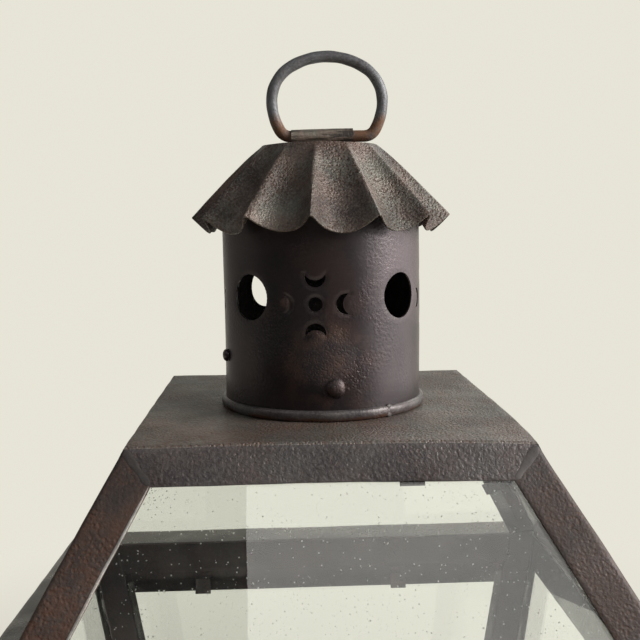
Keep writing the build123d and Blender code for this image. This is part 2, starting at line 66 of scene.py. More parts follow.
def add(tree, kind, inputs=None, **settings):
    """A node with its settings; an input given as a socket is linked, else it is the value."""
    made = tree.nodes.new(kind)
    for name, value in settings.items():
        setattr(made, name, value)
    for name, value in (inputs or {}).items():
        if isinstance(value, bpy.types.NodeSocket):
            tree.links.new(value, made.inputs[name])
        else:
            made.inputs[name].default_value = value
    return made


def calc(tree, first, second, operation="MULTIPLY", clamp=False):
    """Two values put together by a Math node."""
    return add(tree, "ShaderNodeMath", {0: first, 1: second}, operation=operation,
               use_clamp=clamp).outputs[0]


def ramp(tree, value, low, high, least=0.0, most=1.0):
    """A smooth step of a value, from least at low to most at high; low may be the larger."""
    return add(tree, "ShaderNodeMapRange", {"Value": value, "From Min": low, "From Max": high,
                                           "To Min": least, "To Max": most},
               interpolation_type="SMOOTHSTEP").outputs[0]


def blended(tree, share, first, second, blend_type="MIX"):
    """A colour between two, by a share."""
    return add(tree, "ShaderNodeMix", {0: share, 6: first, 7: second}, data_type="RGBA",
               blend_type=blend_type).outputs[2]


def noise(tree, place, scale, detail, roughness=0.5):
    """A noise of the place: its outputs are Fac and Color."""
    return add(tree, "ShaderNodeTexNoise", {"Vector": place, "Scale": scale, "Detail": detail,
                                           "Roughness": roughness}).outputs


def seen_ray(tree, path):
    """1 for a ray that shows a thing directly, through glass or by mirror."""
    straight = calc(tree, path["Is Camera Ray"], path["Is Transmission Ray"], "MAXIMUM")
    return calc(tree, straight, path["Is Glossy Ray"], "MAXIMUM")


def placed(name, data):
    """A new object in the scene, at the origin."""
    made = bpy.data.objects.new(name, data)
    bpy.context.scene.collection.objects.link(made)
    return made


def surround(colour, strength, unlit):
    """The world. Seen directly, by mirror or through glass it has the surround's colour, which
    a mirror sees fade to the unlit colour in front and partly to the left, and brighten low on
    the right; mirror and glass see it fade overhead; elsewhere it is an even light."""
    world = bpy.data.worlds.new("surround")
    world.use_nodes = True
    tree = world.node_tree
    tree.nodes.clear()
    path = add(tree, "ShaderNodeLightPath").outputs
    aim = add(tree, "ShaderNodeTexCoord").outputs["Generated"]
    along = add(tree, "ShaderNodeSeparateXYZ", {0: aim}).outputs
    high = ramp(tree, along[2], 0.30, 0.60)
    near = ramp(tree, along[1], 0.45, -0.35)
    aside = ramp(tree, along[0], -0.15, -0.70, most=0.72)
    mirror = calc(tree, path["Is Glossy Ray"], path["Is Transmission Ray"], "SUBTRACT", clamp=True)
    dim = calc(tree, calc(tree, near, aside, "MAXIMUM"), mirror)
    dim = calc(tree, dim, high, "MAXIMUM")
    room = blended(tree, calc(tree, dim, path["Is Glossy Ray"]), colour, unlit)
    low = calc(tree, 1.0, high, "SUBTRACT")
    sunny = calc(tree, calc(tree, ramp(tree, along[0], 0.74, 0.97), low), mirror)
    room = blended(tree, sunny, room, (2.5, 2.42, 2.4, 1.0))
    light = add(tree, "ShaderNodeBackground", {"Color": (1.0, 0.98, 0.94, 1.0), "Strength": strength})
    shown = add(tree, "ShaderNodeBackground", {"Color": room, "Strength": 1.0})
    mixed = add(tree, "ShaderNodeMixShader", {0: seen_ray(tree, path), 1: light.outputs[0],
                                             2: shown.outputs[0]})
    add(tree, "ShaderNodeOutputWorld", {"Surface": mixed.outputs[0]})
    bpy.context.scene.world = world


def lamp(name, place, aim, wide, tall, watts, colour):
    """A flat area lamp at place, facing aim."""
    data = bpy.data.lights.new(name, "AREA")
    data.shape = "RECTANGLE"
    data.size, data.size_y = wide, tall
    data.energy = watts
    data.color = colour
    made = placed(name, data)
    made.location = place
    made.rotation_mode = "QUATERNION"
    made.rotation_quaternion = (Vector(place) - Vector(aim)).to_track_quat("Z", "Y")


surround_colour = (0.80, 0.78, 0.68, 1.0)
surround(surround_colour, 0.07, (0.035, 0.035, 0.04, 1.0))
lamp("window_lamp", (1.17, -0.43, 1.10), (0, 0, 0.46), 0.7, 0.9, 29.0, (1.0, 0.98, 0.97))
lamp("fill_lamp", (-0.90, -0.55, 1.55), (0, 0, 0.52), 0.9, 0.9, 2.3, (0.98, 0.99, 1.0))
lamp("back_lamp", (0.80, 1.05, 1.45), (0, 0, 0.40), 0.9, 0.7, 7.0, (1.0, 0.99, 0.97))
lamp("strip_lamp", (0.245, -1.07, 1.09), (0.245, -0.1, 0.38), 0.67, 0.36, 1.55, (1.0, 0.975, 0.93))

plate_low, plate_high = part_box("top_plate")
camera_place = Vector((-0.0208, -0.4708, plate_high.z + 0.0947))
camera_yaw, camera_pitch, camera_roll = 0.0420, 0.1082, -0.0135
ahead = Vector((sin(camera_yaw) * cos(camera_pitch), cos(camera_yaw) * cos(camera_pitch),
                -sin(camera_pitch)))
level_right = Vector((cos(camera_yaw), -sin(camera_yaw), 0))
level_up = level_right.cross(ahead)
right = level_right * cos(camera_roll) + level_up * sin(camera_roll)
up = level_up * cos(camera_roll) - level_right * sin(camera_roll)
lens = bpy.data.cameras.new("camera")
lens.sensor_width = 36.0
lens.lens = 50.26
camera = placed("camera", lens)
camera_turn = Matrix((right, up, -ahead)).transposed().to_4x4()
camera.matrix_world = Matrix.Translation(camera_place) @ camera_turn
bpy.context.scene.camera = camera
bpy.context.scene.view_settings.view_transform = "Standard"


def new_material(name):
    """A new material, and its node tree, emptied."""
    material = bpy.data.materials.new(name)
    material.use_nodes = True
    material.node_tree.nodes.clear()
    return material, material.node_tree


def own_place(tree):
    """The place of a point in its object's own frame."""
    return add(tree, "ShaderNodeTexCoord").outputs["Object"]


def disc(name, radius, height, steps=96):
    """A flat round face: points at even turns on a circle."""
    turn = np.linspace(0, 2 * pi, steps, endpoint=False)
    rim = np.stack([radius * np.cos(turn), radius * np.sin(turn), np.full(steps, height)], axis=1)
    mesh = bpy.data.meshes.new(name)
    mesh.from_pydata(rim.tolist(), [], [tuple(range(steps))])
    return placed(name, mesh)


floor = disc("floor", 1.3, 0.0)
floor_paint, tree = new_material("pale_floor")
place = own_place(tree)
reach = add(tree, "ShaderNodeVectorMath", {0: place}, operation="LENGTH").outputs["Value"]
fade = ramp(tree, reach, 0.30, 1.05, least=0.35)
share = calc(tree, seen_ray(tree, add(tree, "ShaderNodeLightPath").outputs), fade)
paint = add(tree, "ShaderNodeBsdfDiffuse", {"Color": (0.78, 0.76, 0.68, 1.0)})
pale = add(tree, "ShaderNodeEmission", {"Color": surround_colour, "Strength": 1.0})
blend = add(tree, "ShaderNodeMixShader", {0: share, 1: paint.outputs[0], 2: pale.outputs[0]})
add(tree, "ShaderNodeOutputMaterial", {"Surface": blend.outputs[0]})
floor.data.materials.append(floor_paint)


# ---------------------------------------------------------------------------------------------
# Sheet iron of the frame: posts, rails, eave, hips, aprons, plate and base are strips of sheet,
# blackened, handled, pitted and here and there rusty, soldered edge to edge.

def effect(name, inputs, outputs):
    """An empty node group with named inputs (name, socket, start value) and outputs."""
    group = bpy.data.node_groups.new(name, "ShaderNodeTree")
    for label, socket, start in inputs:
        made = group.interface.new_socket(label, in_out="INPUT", socket_type="NodeSocket" + socket)
        made.default_value = start
    for label, socket in outputs:
        group.interface.new_socket(label, in_out="OUTPUT", socket_type="NodeSocket" + socket)
    return group, group.nodes.new("NodeGroupInput"), group.nodes.new("NodeGroupOutput")


def pitting_effect():
    """Worn sheet: round mounds like orange peel broken up by a noise, round pits where a coarse
    noise lets them, and a fine grain. Height adds them up; Pits and Lumps are masks."""
    tree, given, result = effect(
        "pitting",
        [("Lump Size", "Float", 0.002), ("Pit Size", "Float", 0.002), ("Spread", "Float", 0.5),
         ("Calm", "Float", 0.0)],
        [("Height", "Float"), ("Pits", "Float"), ("Lumps", "Float"), ("Grain", "Float")])
    place = own_place(tree)
    lump_scale = calc(tree, 1.0, given.outputs["Lump Size"], "DIVIDE")
    pit_scale = calc(tree, 1.0, given.outputs["Pit Size"], "DIVIDE")
    wander = noise(tree, place, 420.0, 2.0)
    shift = add(tree, "ShaderNodeVectorMath", {0: wander["Color"], "Scale": 0.0006},
                operation="SCALE")
    moved = add(tree, "ShaderNodeVectorMath", {0: place, 1: shift.outputs[0]}, operation="ADD")
    lumps = noise(tree, moved.outputs[0], lump_scale, 2.5, 0.55)
    pit = add(tree, "ShaderNodeTexVoronoi", {"Vector": moved.outputs[0], "Scale": pit_scale},
              feature="SMOOTH_F1")
    coarse = noise(tree, place, 45.0, 4.0)
    where = ramp(tree, calc(tree, coarse["Fac"], given.outputs["Spread"], "ADD"), 0.85, 1.15)
    pits = calc(tree, ramp(tree, pit.outputs["Distance"], 0.50, 0.12), where)
    grain = noise(tree, place, 1900.0, 4.0, 0.65)
    mound = add(tree, "ShaderNodeTexVoronoi", {"Vector": moved.outputs[0], "Scale": lump_scale},
                feature="SMOOTH_F1")
    heaped = calc(tree, ramp(tree, mound.outputs["Distance"], 0.62, 0.12), 0.45)
    soft = calc(tree, heaped, calc(tree, ramp(tree, lumps["Fac"], 0.30, 0.70), 0.55), "ADD")
    stirred = ramp(tree, coarse["Fac"], 0.42, 0.62)
    stilled = calc(tree, given.outputs["Calm"], calc(tree, 1.0, stirred, "SUBTRACT"))
    felt = calc(tree, soft, calc(tree, 1.0, stilled, "SUBTRACT"))
    fine = calc(tree, grain["Fac"], 0.14)
    height = calc(tree, calc(tree, felt, fine, "ADD"), pits, "SUBTRACT")
    for label, value in (("Height", height), ("Pits", pits), ("Lumps", soft),
                         ("Grain", grain["Fac"])):
        tree.links.new(value, result.inputs[label])
    return tree


pitting = pitting_effect()


def iron(name, dark, light, rust, rusty=0.3, lump=0.0022, pit=0.003, spread=0.45, depth=0.0003,
         calm=0.0, speckle=0.3, rough=(0.40, 0.62), metal=0.3, gloss=0.5, edge=0.5,
         rust_under=None, rust_fade=0.004, stain=0.0, scars=(), peel_and_highlight=None, drawn=None, furrows=1.0,
         cast=0.35, black_pits=0.0, sheen_tint=(1.0, 1.0, 1.0, 1.0)):
    """Blackened sheet iron. Dark and light lie in patches and between the lumps; edges are
    rubbed lighter by their wear, a lightening that is partly a painted highlight along them;
    rust blooms in spots, sits in the pits, and gathers below the height rust_under over a
    fading band. Broad stains are a thin brown film. Pits and rust crowd round the scars; round
    the peel the lumps stand up and are lighter, partly as chalky flaking rust and partly as a
    painted highlight: each is a place and a radius. Scratches run the way the sheet was drawn,
    given as how fast they change along each axis, as deep as furrows says. The cast turns some
    places greenish grey and others a warm brown, and black_pits says how dark the pits lie.
    What it mirrors is coloured by the sheen tint."""
    material, tree = new_material(name)
    place = own_place(tree)
    wander = noise(tree, place, 110.0, 3.0)

    def round_a(middle, radius):
        """1 near a place, fading raggedly to 0 at a radius."""
        off = add(tree, "ShaderNodeVectorMath", {0: place, 1: tuple(middle)}, operation="DISTANCE")
        ragged = calc(tree, wander["Fac"], 0.7 * radius)
        away = calc(tree, off.outputs["Value"], ragged, "ADD")
        return ramp(tree, away, 1.35 * radius, 0.6 * radius)
    skin = add(tree, "ShaderNodeGroup", node_tree=pitting)
    for label, value in (("Lump Size", lump), ("Pit Size", pit), ("Spread", spread), ("Calm", calm)):
        skin.inputs[label].default_value = value
    if peel_and_highlight:
        raised_up = round_a(*peel_and_highlight)
        tree.links.new(calc(tree, calm, calc(tree, 1.0, raised_up, "SUBTRACT")), skin.inputs["Calm"])
    if scars:
        crowded = round_a(*scars[0])
        for other in scars[1:]:
            crowded = calc(tree, crowded, round_a(*other), "MAXIMUM")
        tree.links.new(calc(tree, calc(tree, crowded, 0.40), spread, "ADD"), skin.inputs["Spread"])
    patches = noise(tree, place, 26.0, 6.0, 0.62)
    worn = ramp(tree, patches["Fac"], 0.34, 0.70)
    raised = calc(tree, calc(tree, skin.outputs["Lumps"], 0.55),
                   calc(tree, skin.outputs["Grain"], 0.60), "ADD")
    bright = calc(tree, ramp(tree, raised, 0.38, 0.84), speckle)
    patchy = calc(tree, worn, 1 - 0.6 * speckle)
    share = calc(tree, bright, patchy, "ADD")
    tone = blended(tree, calc(tree, share, 1.0, "MINIMUM"), dark, light)
    hue = noise(tree, place, 48.0, 4.0, 0.6)
    turned_hue = blended(tree, ramp(tree, hue["Fac"], 0.40, 0.60), (0.93, 0.99, 0.90, 1),
                         (1.16, 0.97, 0.88, 1))
    tone = blended(tree, cast, tone, turned_hue, "MULTIPLY")
    if black_pits:
        tone = blended(tree, calc(tree, skin.outputs["Pits"], black_pits), tone,
                       tuple(0.5 * c for c in dark[:3]) + (1,))
    # Edges are lightened by their wear attribute: partly rubbed bare, partly a painted highlight
    # along the edges.
    rub_and_glint = add(tree, "ShaderNodeAttribute", attribute_name="wear").outputs["Fac"]
    rub_and_glint = calc(tree, calc(tree, rub_and_glint, edge), ramp(tree, patches["Fac"], 0.30, 0.55))
    bare_and_glint = tuple(min(1.0, 1.7 * c) for c in light[:3]) + (1,)
    tone = blended(tree, rub_and_glint, tone, bare_and_glint)
    broad = noise(tree, place, 21.0, 6.0, 0.62)
    film = calc(tree, ramp(tree, broad["Fac"], 0.46, 0.62), stain)
    brown = tuple(0.70 * r + 0.22 * c for r, c in zip(rust[:3], light[:3])) + (1,)
    tone = blended(tree, film, tone, brown)
    if peel_and_highlight:
        # The peel's patch is lighter: partly chalky flaking rust, partly a painted highlight where
        # the window lamp falls.
        chalk_and_highlight = tuple(min(1.0, 2.6 * c) for c in light[:3]) + (1,)
        highlight_share = calc(tree, ramp(tree, patches["Fac"], 0.22, 0.55), 0.85)
        tone = blended(tree, calc(tree, raised_up, highlight_share), tone, chalk_and_highlight)
    height = skin.outputs["Height"]
    if drawn:
        run = add(tree, "ShaderNodeVectorMath", {0: place, 1: drawn}, operation="MULTIPLY")
        streaks = noise(tree, run.outputs[0], 1.0, 4.0)
        furrow = ramp(tree, streaks["Fac"], 0.44, 0.60)
        tone = blended(tree, calc(tree, furrow, min(1.0, 0.65 * furrows)), tone, dark)
        height = calc(tree, height, calc(tree, furrow, 1.4 * furrows), "SUBTRACT")
    blooms = noise(tree, place, 60.0, 8.0, 0.7)
    bloom = ramp(tree, blooms["Fac"], 0.72 - 0.3 * rusty, 0.86 - 0.3 * rusty)
    rusted = calc(tree, bloom, skin.outputs["Pits"], "MAXIMUM")
    rusted = calc(tree, rusted, min(1.0, 1.2 * rusty))
    if scars:
        about = calc(tree, crowded, ramp(tree, blooms["Fac"], 0.40, 0.62))
        rusted = calc(tree, rusted, calc(tree, about, 0.75), "MAXIMUM")
    if rust_under is not None:
        above = add(tree, "ShaderNodeSeparateXYZ", {0: place}).outputs[2]
        ragged = calc(tree, blooms["Fac"], 2.2 * rust_fade)
        level_of = calc(tree, above, ragged, "SUBTRACT")
        low = ramp(tree, level_of, rust_under, rust_under - rust_fade)
        spotted = ramp(tree, blooms["Fac"], 0.36, 0.56)
        rusted = calc(tree, rusted, calc(tree, low, spotted), "MAXIMUM")
    colour = blended(tree, rusted, tone, rust)
    smooth_share = calc(tree, worn, 0.7)
    matt = calc(tree, rusted, 0.6)
    wear = add(tree, "ShaderNodeMapRange", {"Value": calc(tree, smooth_share, matt, "SUBTRACT"),
                                           "From Min": -0.4, "From Max": 0.7,
                                           "To Min": rough[1], "To Max": rough[0]})
    dull = calc(tree, wear.outputs[0], calc(tree, rusted, 0.80), "MAXIMUM")
    if scars:
        dull = calc(tree, dull, calc(tree, crowded, 0.64), "MAXIMUM")
    bump = add(tree, "ShaderNodeBump", {"Height": height, "Strength": 1.0,
                                       "Distance": depth})
    surface = add(tree, "ShaderNodeBsdfPrincipled", {
        "Base Color": colour, "Roughness": dull, "Metallic": metal,
        "Specular IOR Level": gloss, "Specular Tint": sheen_tint, "Normal": bump.outputs[0]})
    add(tree, "ShaderNodeOutputMaterial", {"Surface": surface.outputs[0]})
    return material


def dress(material, *names):
    """Gives CAD nodes this material in place of their plain one."""
    for name in names:
        data = nodes[name].data
        data.materials.clear()
        data.materials.append(material)


def sunk_corner(points):
    """The plate's front right corner has been knocked down: a drop that goes with the square of
    the place to the right and the cube of that to the front, and fades away from the plate."""
    knock, reach = 2.2 * mm, plate_high.x
    right = np.clip(points[..., 0] / reach, 0, 1.05) ** 2
    front = np.clip(-points[..., 1] / reach, 0, 1.05) ** 3
    near = np.exp(-((points[..., 2] - plate_high.z) / (32 * mm)) ** 2)
    drop = knock * right * front * near
    return points - np.stack([0 * drop, 0 * drop, drop], axis=-1)


def out_of_square(points):
    """The eave was cut out of square: on its left its overhang narrows evenly towards the back."""
    eave_over, lost = 26 * mm, 0.40
    body_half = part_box("eave_front")[1].x - eave_over
    over = np.minimum(points[..., 0] + body_half, 0)
    share = np.clip((points[..., 1] / body_half + 1) / 2, 0, 1.2)
    pull = -over * lost * share
    return points + np.stack([pull, 0 * pull, 0 * pull], axis=-1)


def worked(points, amount=0.20 * mm):
    """Hand work: every point is pushed by a sum of three sines of its place on each axis, so
    that pieces that touch move alike; the eave is out of square and the plate's corner knocked.
    Nothing is pushed out of the CAD's box."""
    waves = np.array([[61, 23, 37], [-29, 71, 43], [47, -53, 67]], float)
    turns = points @ waves.T
    pushed = np.stack([np.sin(turns[..., 0] + 1.3 * k) + 0.6 * np.sin(2.7 * turns[..., 1] + 2.1 * k)
                       + 0.35 * np.sin(5.3 * turns[..., 2] + 0.7 * k) for k in range(3)], axis=-1)
    made = sunk_corner(out_of_square(points + amount * 0.5 * pushed))
    return np.clip(made, *(np.array(corner) for corner in cad_box))


def ringed(name, *parts, wrap=False, smooth=40.0):
    """A mesh of closed skins. Each part is an array of rings (ring, point, xyz): a quad between
    neighbours on neighbouring rings; the end rings are faces, or joined to each other if
    wrapped. A part whose signed volume is negative is turned inside out. The wear of a point
    is how far the faces round it disagree: one less the length of their mean normal."""
    points, faces, wear, start = [], [], [], 0
    for rows in parts:
        count, around = rows.shape[:2]
        index = np.arange(count * around).reshape(count, around)
        nearer = index if wrap else index[:-1]
        further = np.roll(index, -1, axis=0) if wrap else index[1:]
        quads = np.stack([nearer, np.roll(nearer, -1, axis=1), np.roll(further, -1, axis=1), further],
                         axis=-1).reshape(-1, 4)
        flat = rows.reshape(-1, 3)
        about = flat - flat.mean(axis=0)
        a, b, c, d = (about[quads[:, k]] for k in range(4))
        volume = np.einsum("ij,ij", a, np.cross(b, c)) + np.einsum("ij,ij", a, np.cross(c, d))
        facing = np.cross(c - a, d - b)
        facing /= np.maximum(np.linalg.norm(facing, axis=1, keepdims=True), 1e-12)
        total, times_met = np.zeros_like(flat), np.zeros(len(flat))
        for k in range(4):
            np.add.at(total, quads[:, k], facing)
            np.add.at(times_met, quads[:, k], 1)
        agreed = np.linalg.norm(total, axis=1) / times_met
        wear.append(np.clip(8 * (1 - agreed), 0, 1))
        loops = (quads + start).tolist()
        if not wrap:
            loops += [(index[0][::-1] + start).tolist(), (index[-1] + start).tolist()]
        faces += [loop[::-1] for loop in loops] if volume < 0 else loops
        points.append(flat)
        start += len(flat)
    mesh = bpy.data.meshes.new(name)
    mesh.from_pydata(np.concatenate(points).tolist(), [], faces)
    mesh.polygons.foreach_set("use_smooth", np.ones(len(faces), bool))
    mesh.attributes.new("wear", "FLOAT", "POINT").data.foreach_set("value", np.concatenate(wear))
    made = placed(name, mesh)
    mesh.set_sharp_from_angle(angle=radians(smooth))
    return made


def fit(piece, material, body, *stands_for):
    """Finishes a piece, fixes it to its body and puts it in place of its plain solids."""
    piece.data.materials.clear()
    piece.data.materials.append(material)
    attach(piece, body)
    if stands_for:
        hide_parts(*stands_for)
    return piece


def eased(node, ease=0.25 * mm):
    """A solid with its hard edges taken off: its flat faces are made whole, then bevelled."""
    data = nodes[node].data.copy()
    shape = bmesh.new()
    shape.from_mesh(data)
    bmesh.ops.remove_doubles(shape, verts=shape.verts, dist=0.002 * mm)
    bmesh.ops.dissolve_limit(shape, angle_limit=radians(1.0), verts=shape.verts, edges=shape.edges)
    shape.to_mesh(data)
    shape.free()
    data.name = node + "_eased"
    made = placed(node + "_eased", data)
    soft = made.modifiers.new("ease", "BEVEL")
    soft.width, soft.segments, soft.limit_method = ease, 2, "ANGLE"
    soft.angle_limit = radians(35)
    soft.use_clamp_overlap = True
    data.polygons.foreach_set("use_smooth", np.ones(len(data.polygons), bool))
    data.set_sharp_from_angle(angle=radians(40))
    return made


corners = ("front_right", "back_right", "back_left", "front_left")
sides = ("front", "right", "back", "left")
frame_iron = iron("frame_iron", (0.038, 0.033, 0.034, 1), (0.088, 0.079, 0.078, 1),
                  (0.110, 0.055, 0.032, 1), rusty=0.30, lump=0.0017, pit=0.0017, spread=0.46,
                  depth=0.00017, calm=0.3, speckle=0.25, rough=(0.44, 0.64), metal=0.25, edge=0.8,
                  stain=0.25)


# ---------------------------------------------------------------------------------------------
# Base: a square tray of sheet turned upside down, with a candle cup riveted through a drip dish
# in its middle.

base_iron = iron("base_iron", (0.026, 0.021, 0.019, 1), (0.095, 0.083, 0.075, 1),
                 (0.13, 0.062, 0.032, 1), rusty=0.45, lump=0.0018, pit=0.0018,
                 depth=0.00016, stain=0.3)
for name in ("base_pan", "drip_dish", "candle_cup", "cup_rivet"):
    fit(eased(name), base_iron, "lantern", name)


# ---------------------------------------------------------------------------------------------
# Corner posts: four L strips of sheet iron, folded by hand, leaning in from the eave to the
# base. Their legs lie in the body's faces, and the rails are soldered between them.

sheet = 1.2 * mm
post_leg = 19.0 * mm
top_rail_wide, bottom_rail_wide = 20.5 * mm, 20.0 * mm
post_low, post_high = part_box("post_front_left")
foot_height, shoulder_height = post_low.z, post_high.z
shoulder_half = -post_low.x
body_spread = 0.228


def sheet_section(middle, thick, edge_steps=3):
    """The closed outline of bent sheet: its middle line pushed out by half the sheet on both
    sides, with round edges between."""
    along = np.gradient(middle, axis=0)
    along /= np.linalg.norm(along, axis=1, keepdims=True)
    aside = np.stack([along[:, 1], -along[:, 0]], axis=1) * thick / 2
    turn = np.linspace(0, pi, edge_steps + 2)[1:-1, None]
    far_edge = middle[-1] + aside[-1] * np.cos(turn) + along[-1] * thick / 2 * 0.6 * np.sin(turn)
    near_edge = middle[0] - aside[0] * np.cos(turn) - along[0] * thick / 2 * 0.6 * np.sin(turn)
    return np.concatenate([middle + aside, far_edge, (middle - aside)[::-1], near_edge])


def carried(outline, direction, starts, ends, step=3.0 * mm):
    """A strip: every point of the outline runs along direction from its start plane to its end
    plane, a plane being (a point on it, its normal), one plane or one for each point."""
    def met(planes):
        """Where the outline's points meet their planes."""
        if len(planes) == 2 and np.ndim(planes[0]) == 1:
            planes = [planes] * len(outline)
        at = np.array([p for p, n in planes], float)
        normal = np.array([n for p, n in planes], float)
        reach = ((at - outline) * normal).sum(1) / (normal @ direction)
        return outline + reach[:, None] * direction
    first, last = met(starts), met(ends)
    longest = np.linalg.norm(last - first, axis=1).max()
    share = np.linspace(0, 1, max(4, int(longest / step)))[:, None, None]
    return first + (last - first) * share


def turned(points, quarters):
    """The points carried round to another side, a quarter turn at a time."""
    c, s = ((1, 0), (0, 1), (-1, 0), (0, -1))[quarters % 4]
    return points @ np.array([[c, s, 0], [-s, c, 0], [0, 0, 1]], float)


def fit_turned(strip, k, places, skin, node, material):
    """A strip made for the front, or the front right corner, hand worked and fixed in place k."""
    fit(ringed(skin + places[k], worked(turned(strip, k))), material, "lantern", node + places[k])


def corner_strip(corner, spread, leg, starts, ends):
    """An L strip on the corner between front and right: corner is a point on its outer line."""
    line = np.array([spread, -spread, 1.0]) / sqrt(1 + 2 * spread**2)
    front = np.array([0, -1, -spread]) / sqrt(1 + spread**2)
    side = np.array([1, 0, -spread]) / sqrt(1 + spread**2)
    leg_front = np.cross(front, line)
    leg_front *= -np.sign(leg_front[0])
    leg_side = np.cross(side, line)
    leg_side *= np.sign(leg_side[1])
    bend = 1.6 * mm
    tip_front = leg * leg_front - front * sheet / 2
    tip_side = leg * leg_side - side * sheet / 2
    knee = -(front + side) / (1 + front @ side) * sheet / 2
    share = np.linspace(0, 1, 9)[:, None]
    from_front = tip_front + (knee + leg_front * bend - tip_front) * share
    to_side = knee + leg_side * bend + (tip_side - knee - leg_side * bend) * share
    round_it = np.linspace(0, 1, 5)[1:-1, None]
    bent = (from_front[-1] * (1 - round_it) ** 2 + 2 * knee * round_it * (1 - round_it)
            + to_side[0] * round_it**2)
    middle = np.concatenate([from_front, bent, to_side])
    across = leg_front
    inward = np.cross(line, across)
    flat = sheet_section(np.stack([middle @ across, middle @ inward], axis=1), sheet)
    outline = corner + flat[:, :1] * across + flat[:, 1:] * inward
    return carried(outline, line, starts, ends)


level = np.array([0, 0, 1.0])
to_right = np.array([1.0, 0, 0])
post_corner = np.array([shoulder_half, -shoulder_half, shoulder_height])
for k in range(4):
    post = corner_strip(post_corner, body_spread, post_leg,
                        (level * foot_height, level), (level * shoulder_height, level))
    fit_turned(post, k, corners, "post_skin_", "post_", frame_iron)


# ---------------------------------------------------------------------------------------------
# Body rails: flat strips of the same sheet, soldered between the posts at the head and foot of
# each face, flush with their legs.

def face_strip(half, height, spread, low, high, end_lines):
    """A flat strip across the front face, between two distances down the slope from height;
    end_lines holds the right end's point and direction, mirrored for the left."""
    run = sqrt(1 + spread**2)
    up_slope = np.array([0, -spread, 1.0]) / run
    out = np.array([0, -1, -spread]) / run
    share = np.linspace(0, 1, 9)[:, None]
    middle = np.array([0, -half, height]) - out * sheet / 2 - up_slope * (high + (low - high) * share)
    flat = np.stack([middle @ up_slope, middle @ out], axis=1)
    outline = sheet_section(flat, sheet)
    outline = outline[:, :1] * up_slope + outline[:, 1:] * out
    point, line = end_lines
    normal = np.cross(out, line)
    mirror = np.array([-1, 1, 1])
    return carried(outline, to_right, (point * mirror, normal * mirror), (point, normal))


def leg_edge(half, height, spread, leg):
    """The inner edge line of the right corner's leg on the front face: a point, a direction."""
    run = sqrt(1 + spread**2)
    line = np.array([spread, -spread, 1.0]) / sqrt(1 + 2 * spread**2)
    inset = leg * sqrt(1 + (spread / run) ** 2)
    return np.array([half - inset, -half, height]), line


body_run = sqrt(1 + body_spread**2)
body_slope = (shoulder_height - foot_height) * body_run
post_edge = leg_edge(shoulder_half, shoulder_height, body_spread, post_leg)
for k in range(4):
    head = face_strip(shoulder_half, shoulder_height, body_spread, top_rail_wide, 0.0, post_edge)
    foot = face_strip(shoulder_half, shoulder_height, body_spread, body_slope,
                      body_slope - bottom_rail_wide, post_edge)
    fit_turned(head, k, sides, "top_rail_skin_", "top_rail_", frame_iron)
    fit_turned(foot, k, sides, "bottom_rail_skin_", "bottom_rail_", frame_iron)


# ---------------------------------------------------------------------------------------------
# Eave: four mitred strips lying flat on the body's head, their outer edge folded under into a
# hem that stiffens it and lets the rain drip clear.

eave_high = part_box("eave_front")[1]
eave_half = eave_high.x
eave_top = eave_high.z
eave_inner = -eave_high.y
hem_back = 5.0 * mm
hem_radius = 0.9 * mm
flat_run = np.linspace(-eave_inner, -eave_half + sheet / 2 + hem_radius, 12)
fold = np.linspace(0, pi, 9)[1:-1]
hem_run = np.linspace(-eave_half + sheet / 2 + hem_radius, -eave_half + hem_back, 4)
eave_middle = np.concatenate([
    np.stack([flat_run, np.full(12, eave_top - sheet / 2)], axis=1),
    np.stack([flat_run[-1] - hem_radius * np.sin(fold),
              eave_top - sheet / 2 - hem_radius * (1 - np.cos(fold))], axis=1),
    np.stack([hem_run, np.full(4, eave_top - sheet / 2 - 2 * hem_radius)], axis=1)])
eave_outline = sheet_section(eave_middle, sheet)
eave_outline = np.concatenate([np.zeros((len(eave_outline), 1)), eave_outline], axis=1)
eave_strip = carried(eave_outline, to_right, (np.zeros(3), np.array([1.0, -1, 0])),
                     (np.zeros(3), np.array([1.0, 1, 0])))
eave_iron = iron("eave_iron", (0.052, 0.046, 0.044, 1), (0.105, 0.096, 0.090, 1),
                 (0.105, 0.050, 0.028, 1), rusty=0.22, lump=0.0015, pit=0.0013, spread=0.30,
                 depth=0.00005, calm=0.6, speckle=0.3, rough=(0.24, 0.38), metal=0.25, gloss=0.8,
                 edge=1.0, stain=0.3)
for k in range(4):
    fit_turned(eave_strip, k, sides, "eave_skin_", "eave_", eave_iron)


# ---------------------------------------------------------------------------------------------
# Roof: four L strips down the hips and four aprons under the plate's edge, mitred into each
# other at the plate's corners. Solder stands in the mitres, grey and uneven; hips rust first.
# A thin pale strip along the left edge of each opening is a painted highlight of that edge.

plate_half = plate_high.x
plate_top, plate_under = plate_high.z, plate_low.z
roof_foot_half = shoulder_half + 1.36 * mm
roof_spread = (plate_half - roof_foot_half) / (plate_top - eave_top)
roof_run = sqrt(1 + roof_spread**2)
hip_leg, apron_wide = 18.0 * mm, 16.3 * mm
under_half = plate_half - roof_spread * (plate_top - plate_under)
hip_line = np.array([roof_spread, -roof_spread, 1.0]) / sqrt(1 + 2 * roof_spread**2)
plate_corner = np.array([under_half, -under_half, plate_under])
front_out = np.array([0, -1, -roof_spread]) / roof_run
front_up = np.array([0, -roof_spread, 1.0]) / roof_run
inner_half = (under_half - (roof_spread / roof_run) * apron_wide
              - hip_leg * sqrt(1 + (roof_spread / roof_run) ** 2))
inner_corner = (np.array([0, -under_half, plate_under]) - front_up * apron_wide
                + np.array([inner_half, 0, 0]))
mitre_line = plate_corner - inner_corner
hip_iron = iron("hip_iron", (0.037, 0.028, 0.025, 1), (0.076, 0.061, 0.055, 1),
                (0.120, 0.050, 0.026, 1), rusty=0.42, lump=0.0016, pit=0.0017, spread=0.46,
                depth=0.00016, calm=0.1, speckle=0.2, rough=(0.44, 0.64), metal=0.25, edge=0.9,
                stain=0.55, scars=(((-120 * mm, -122 * mm, plate_high.z - 58 * mm), 52 * mm),))
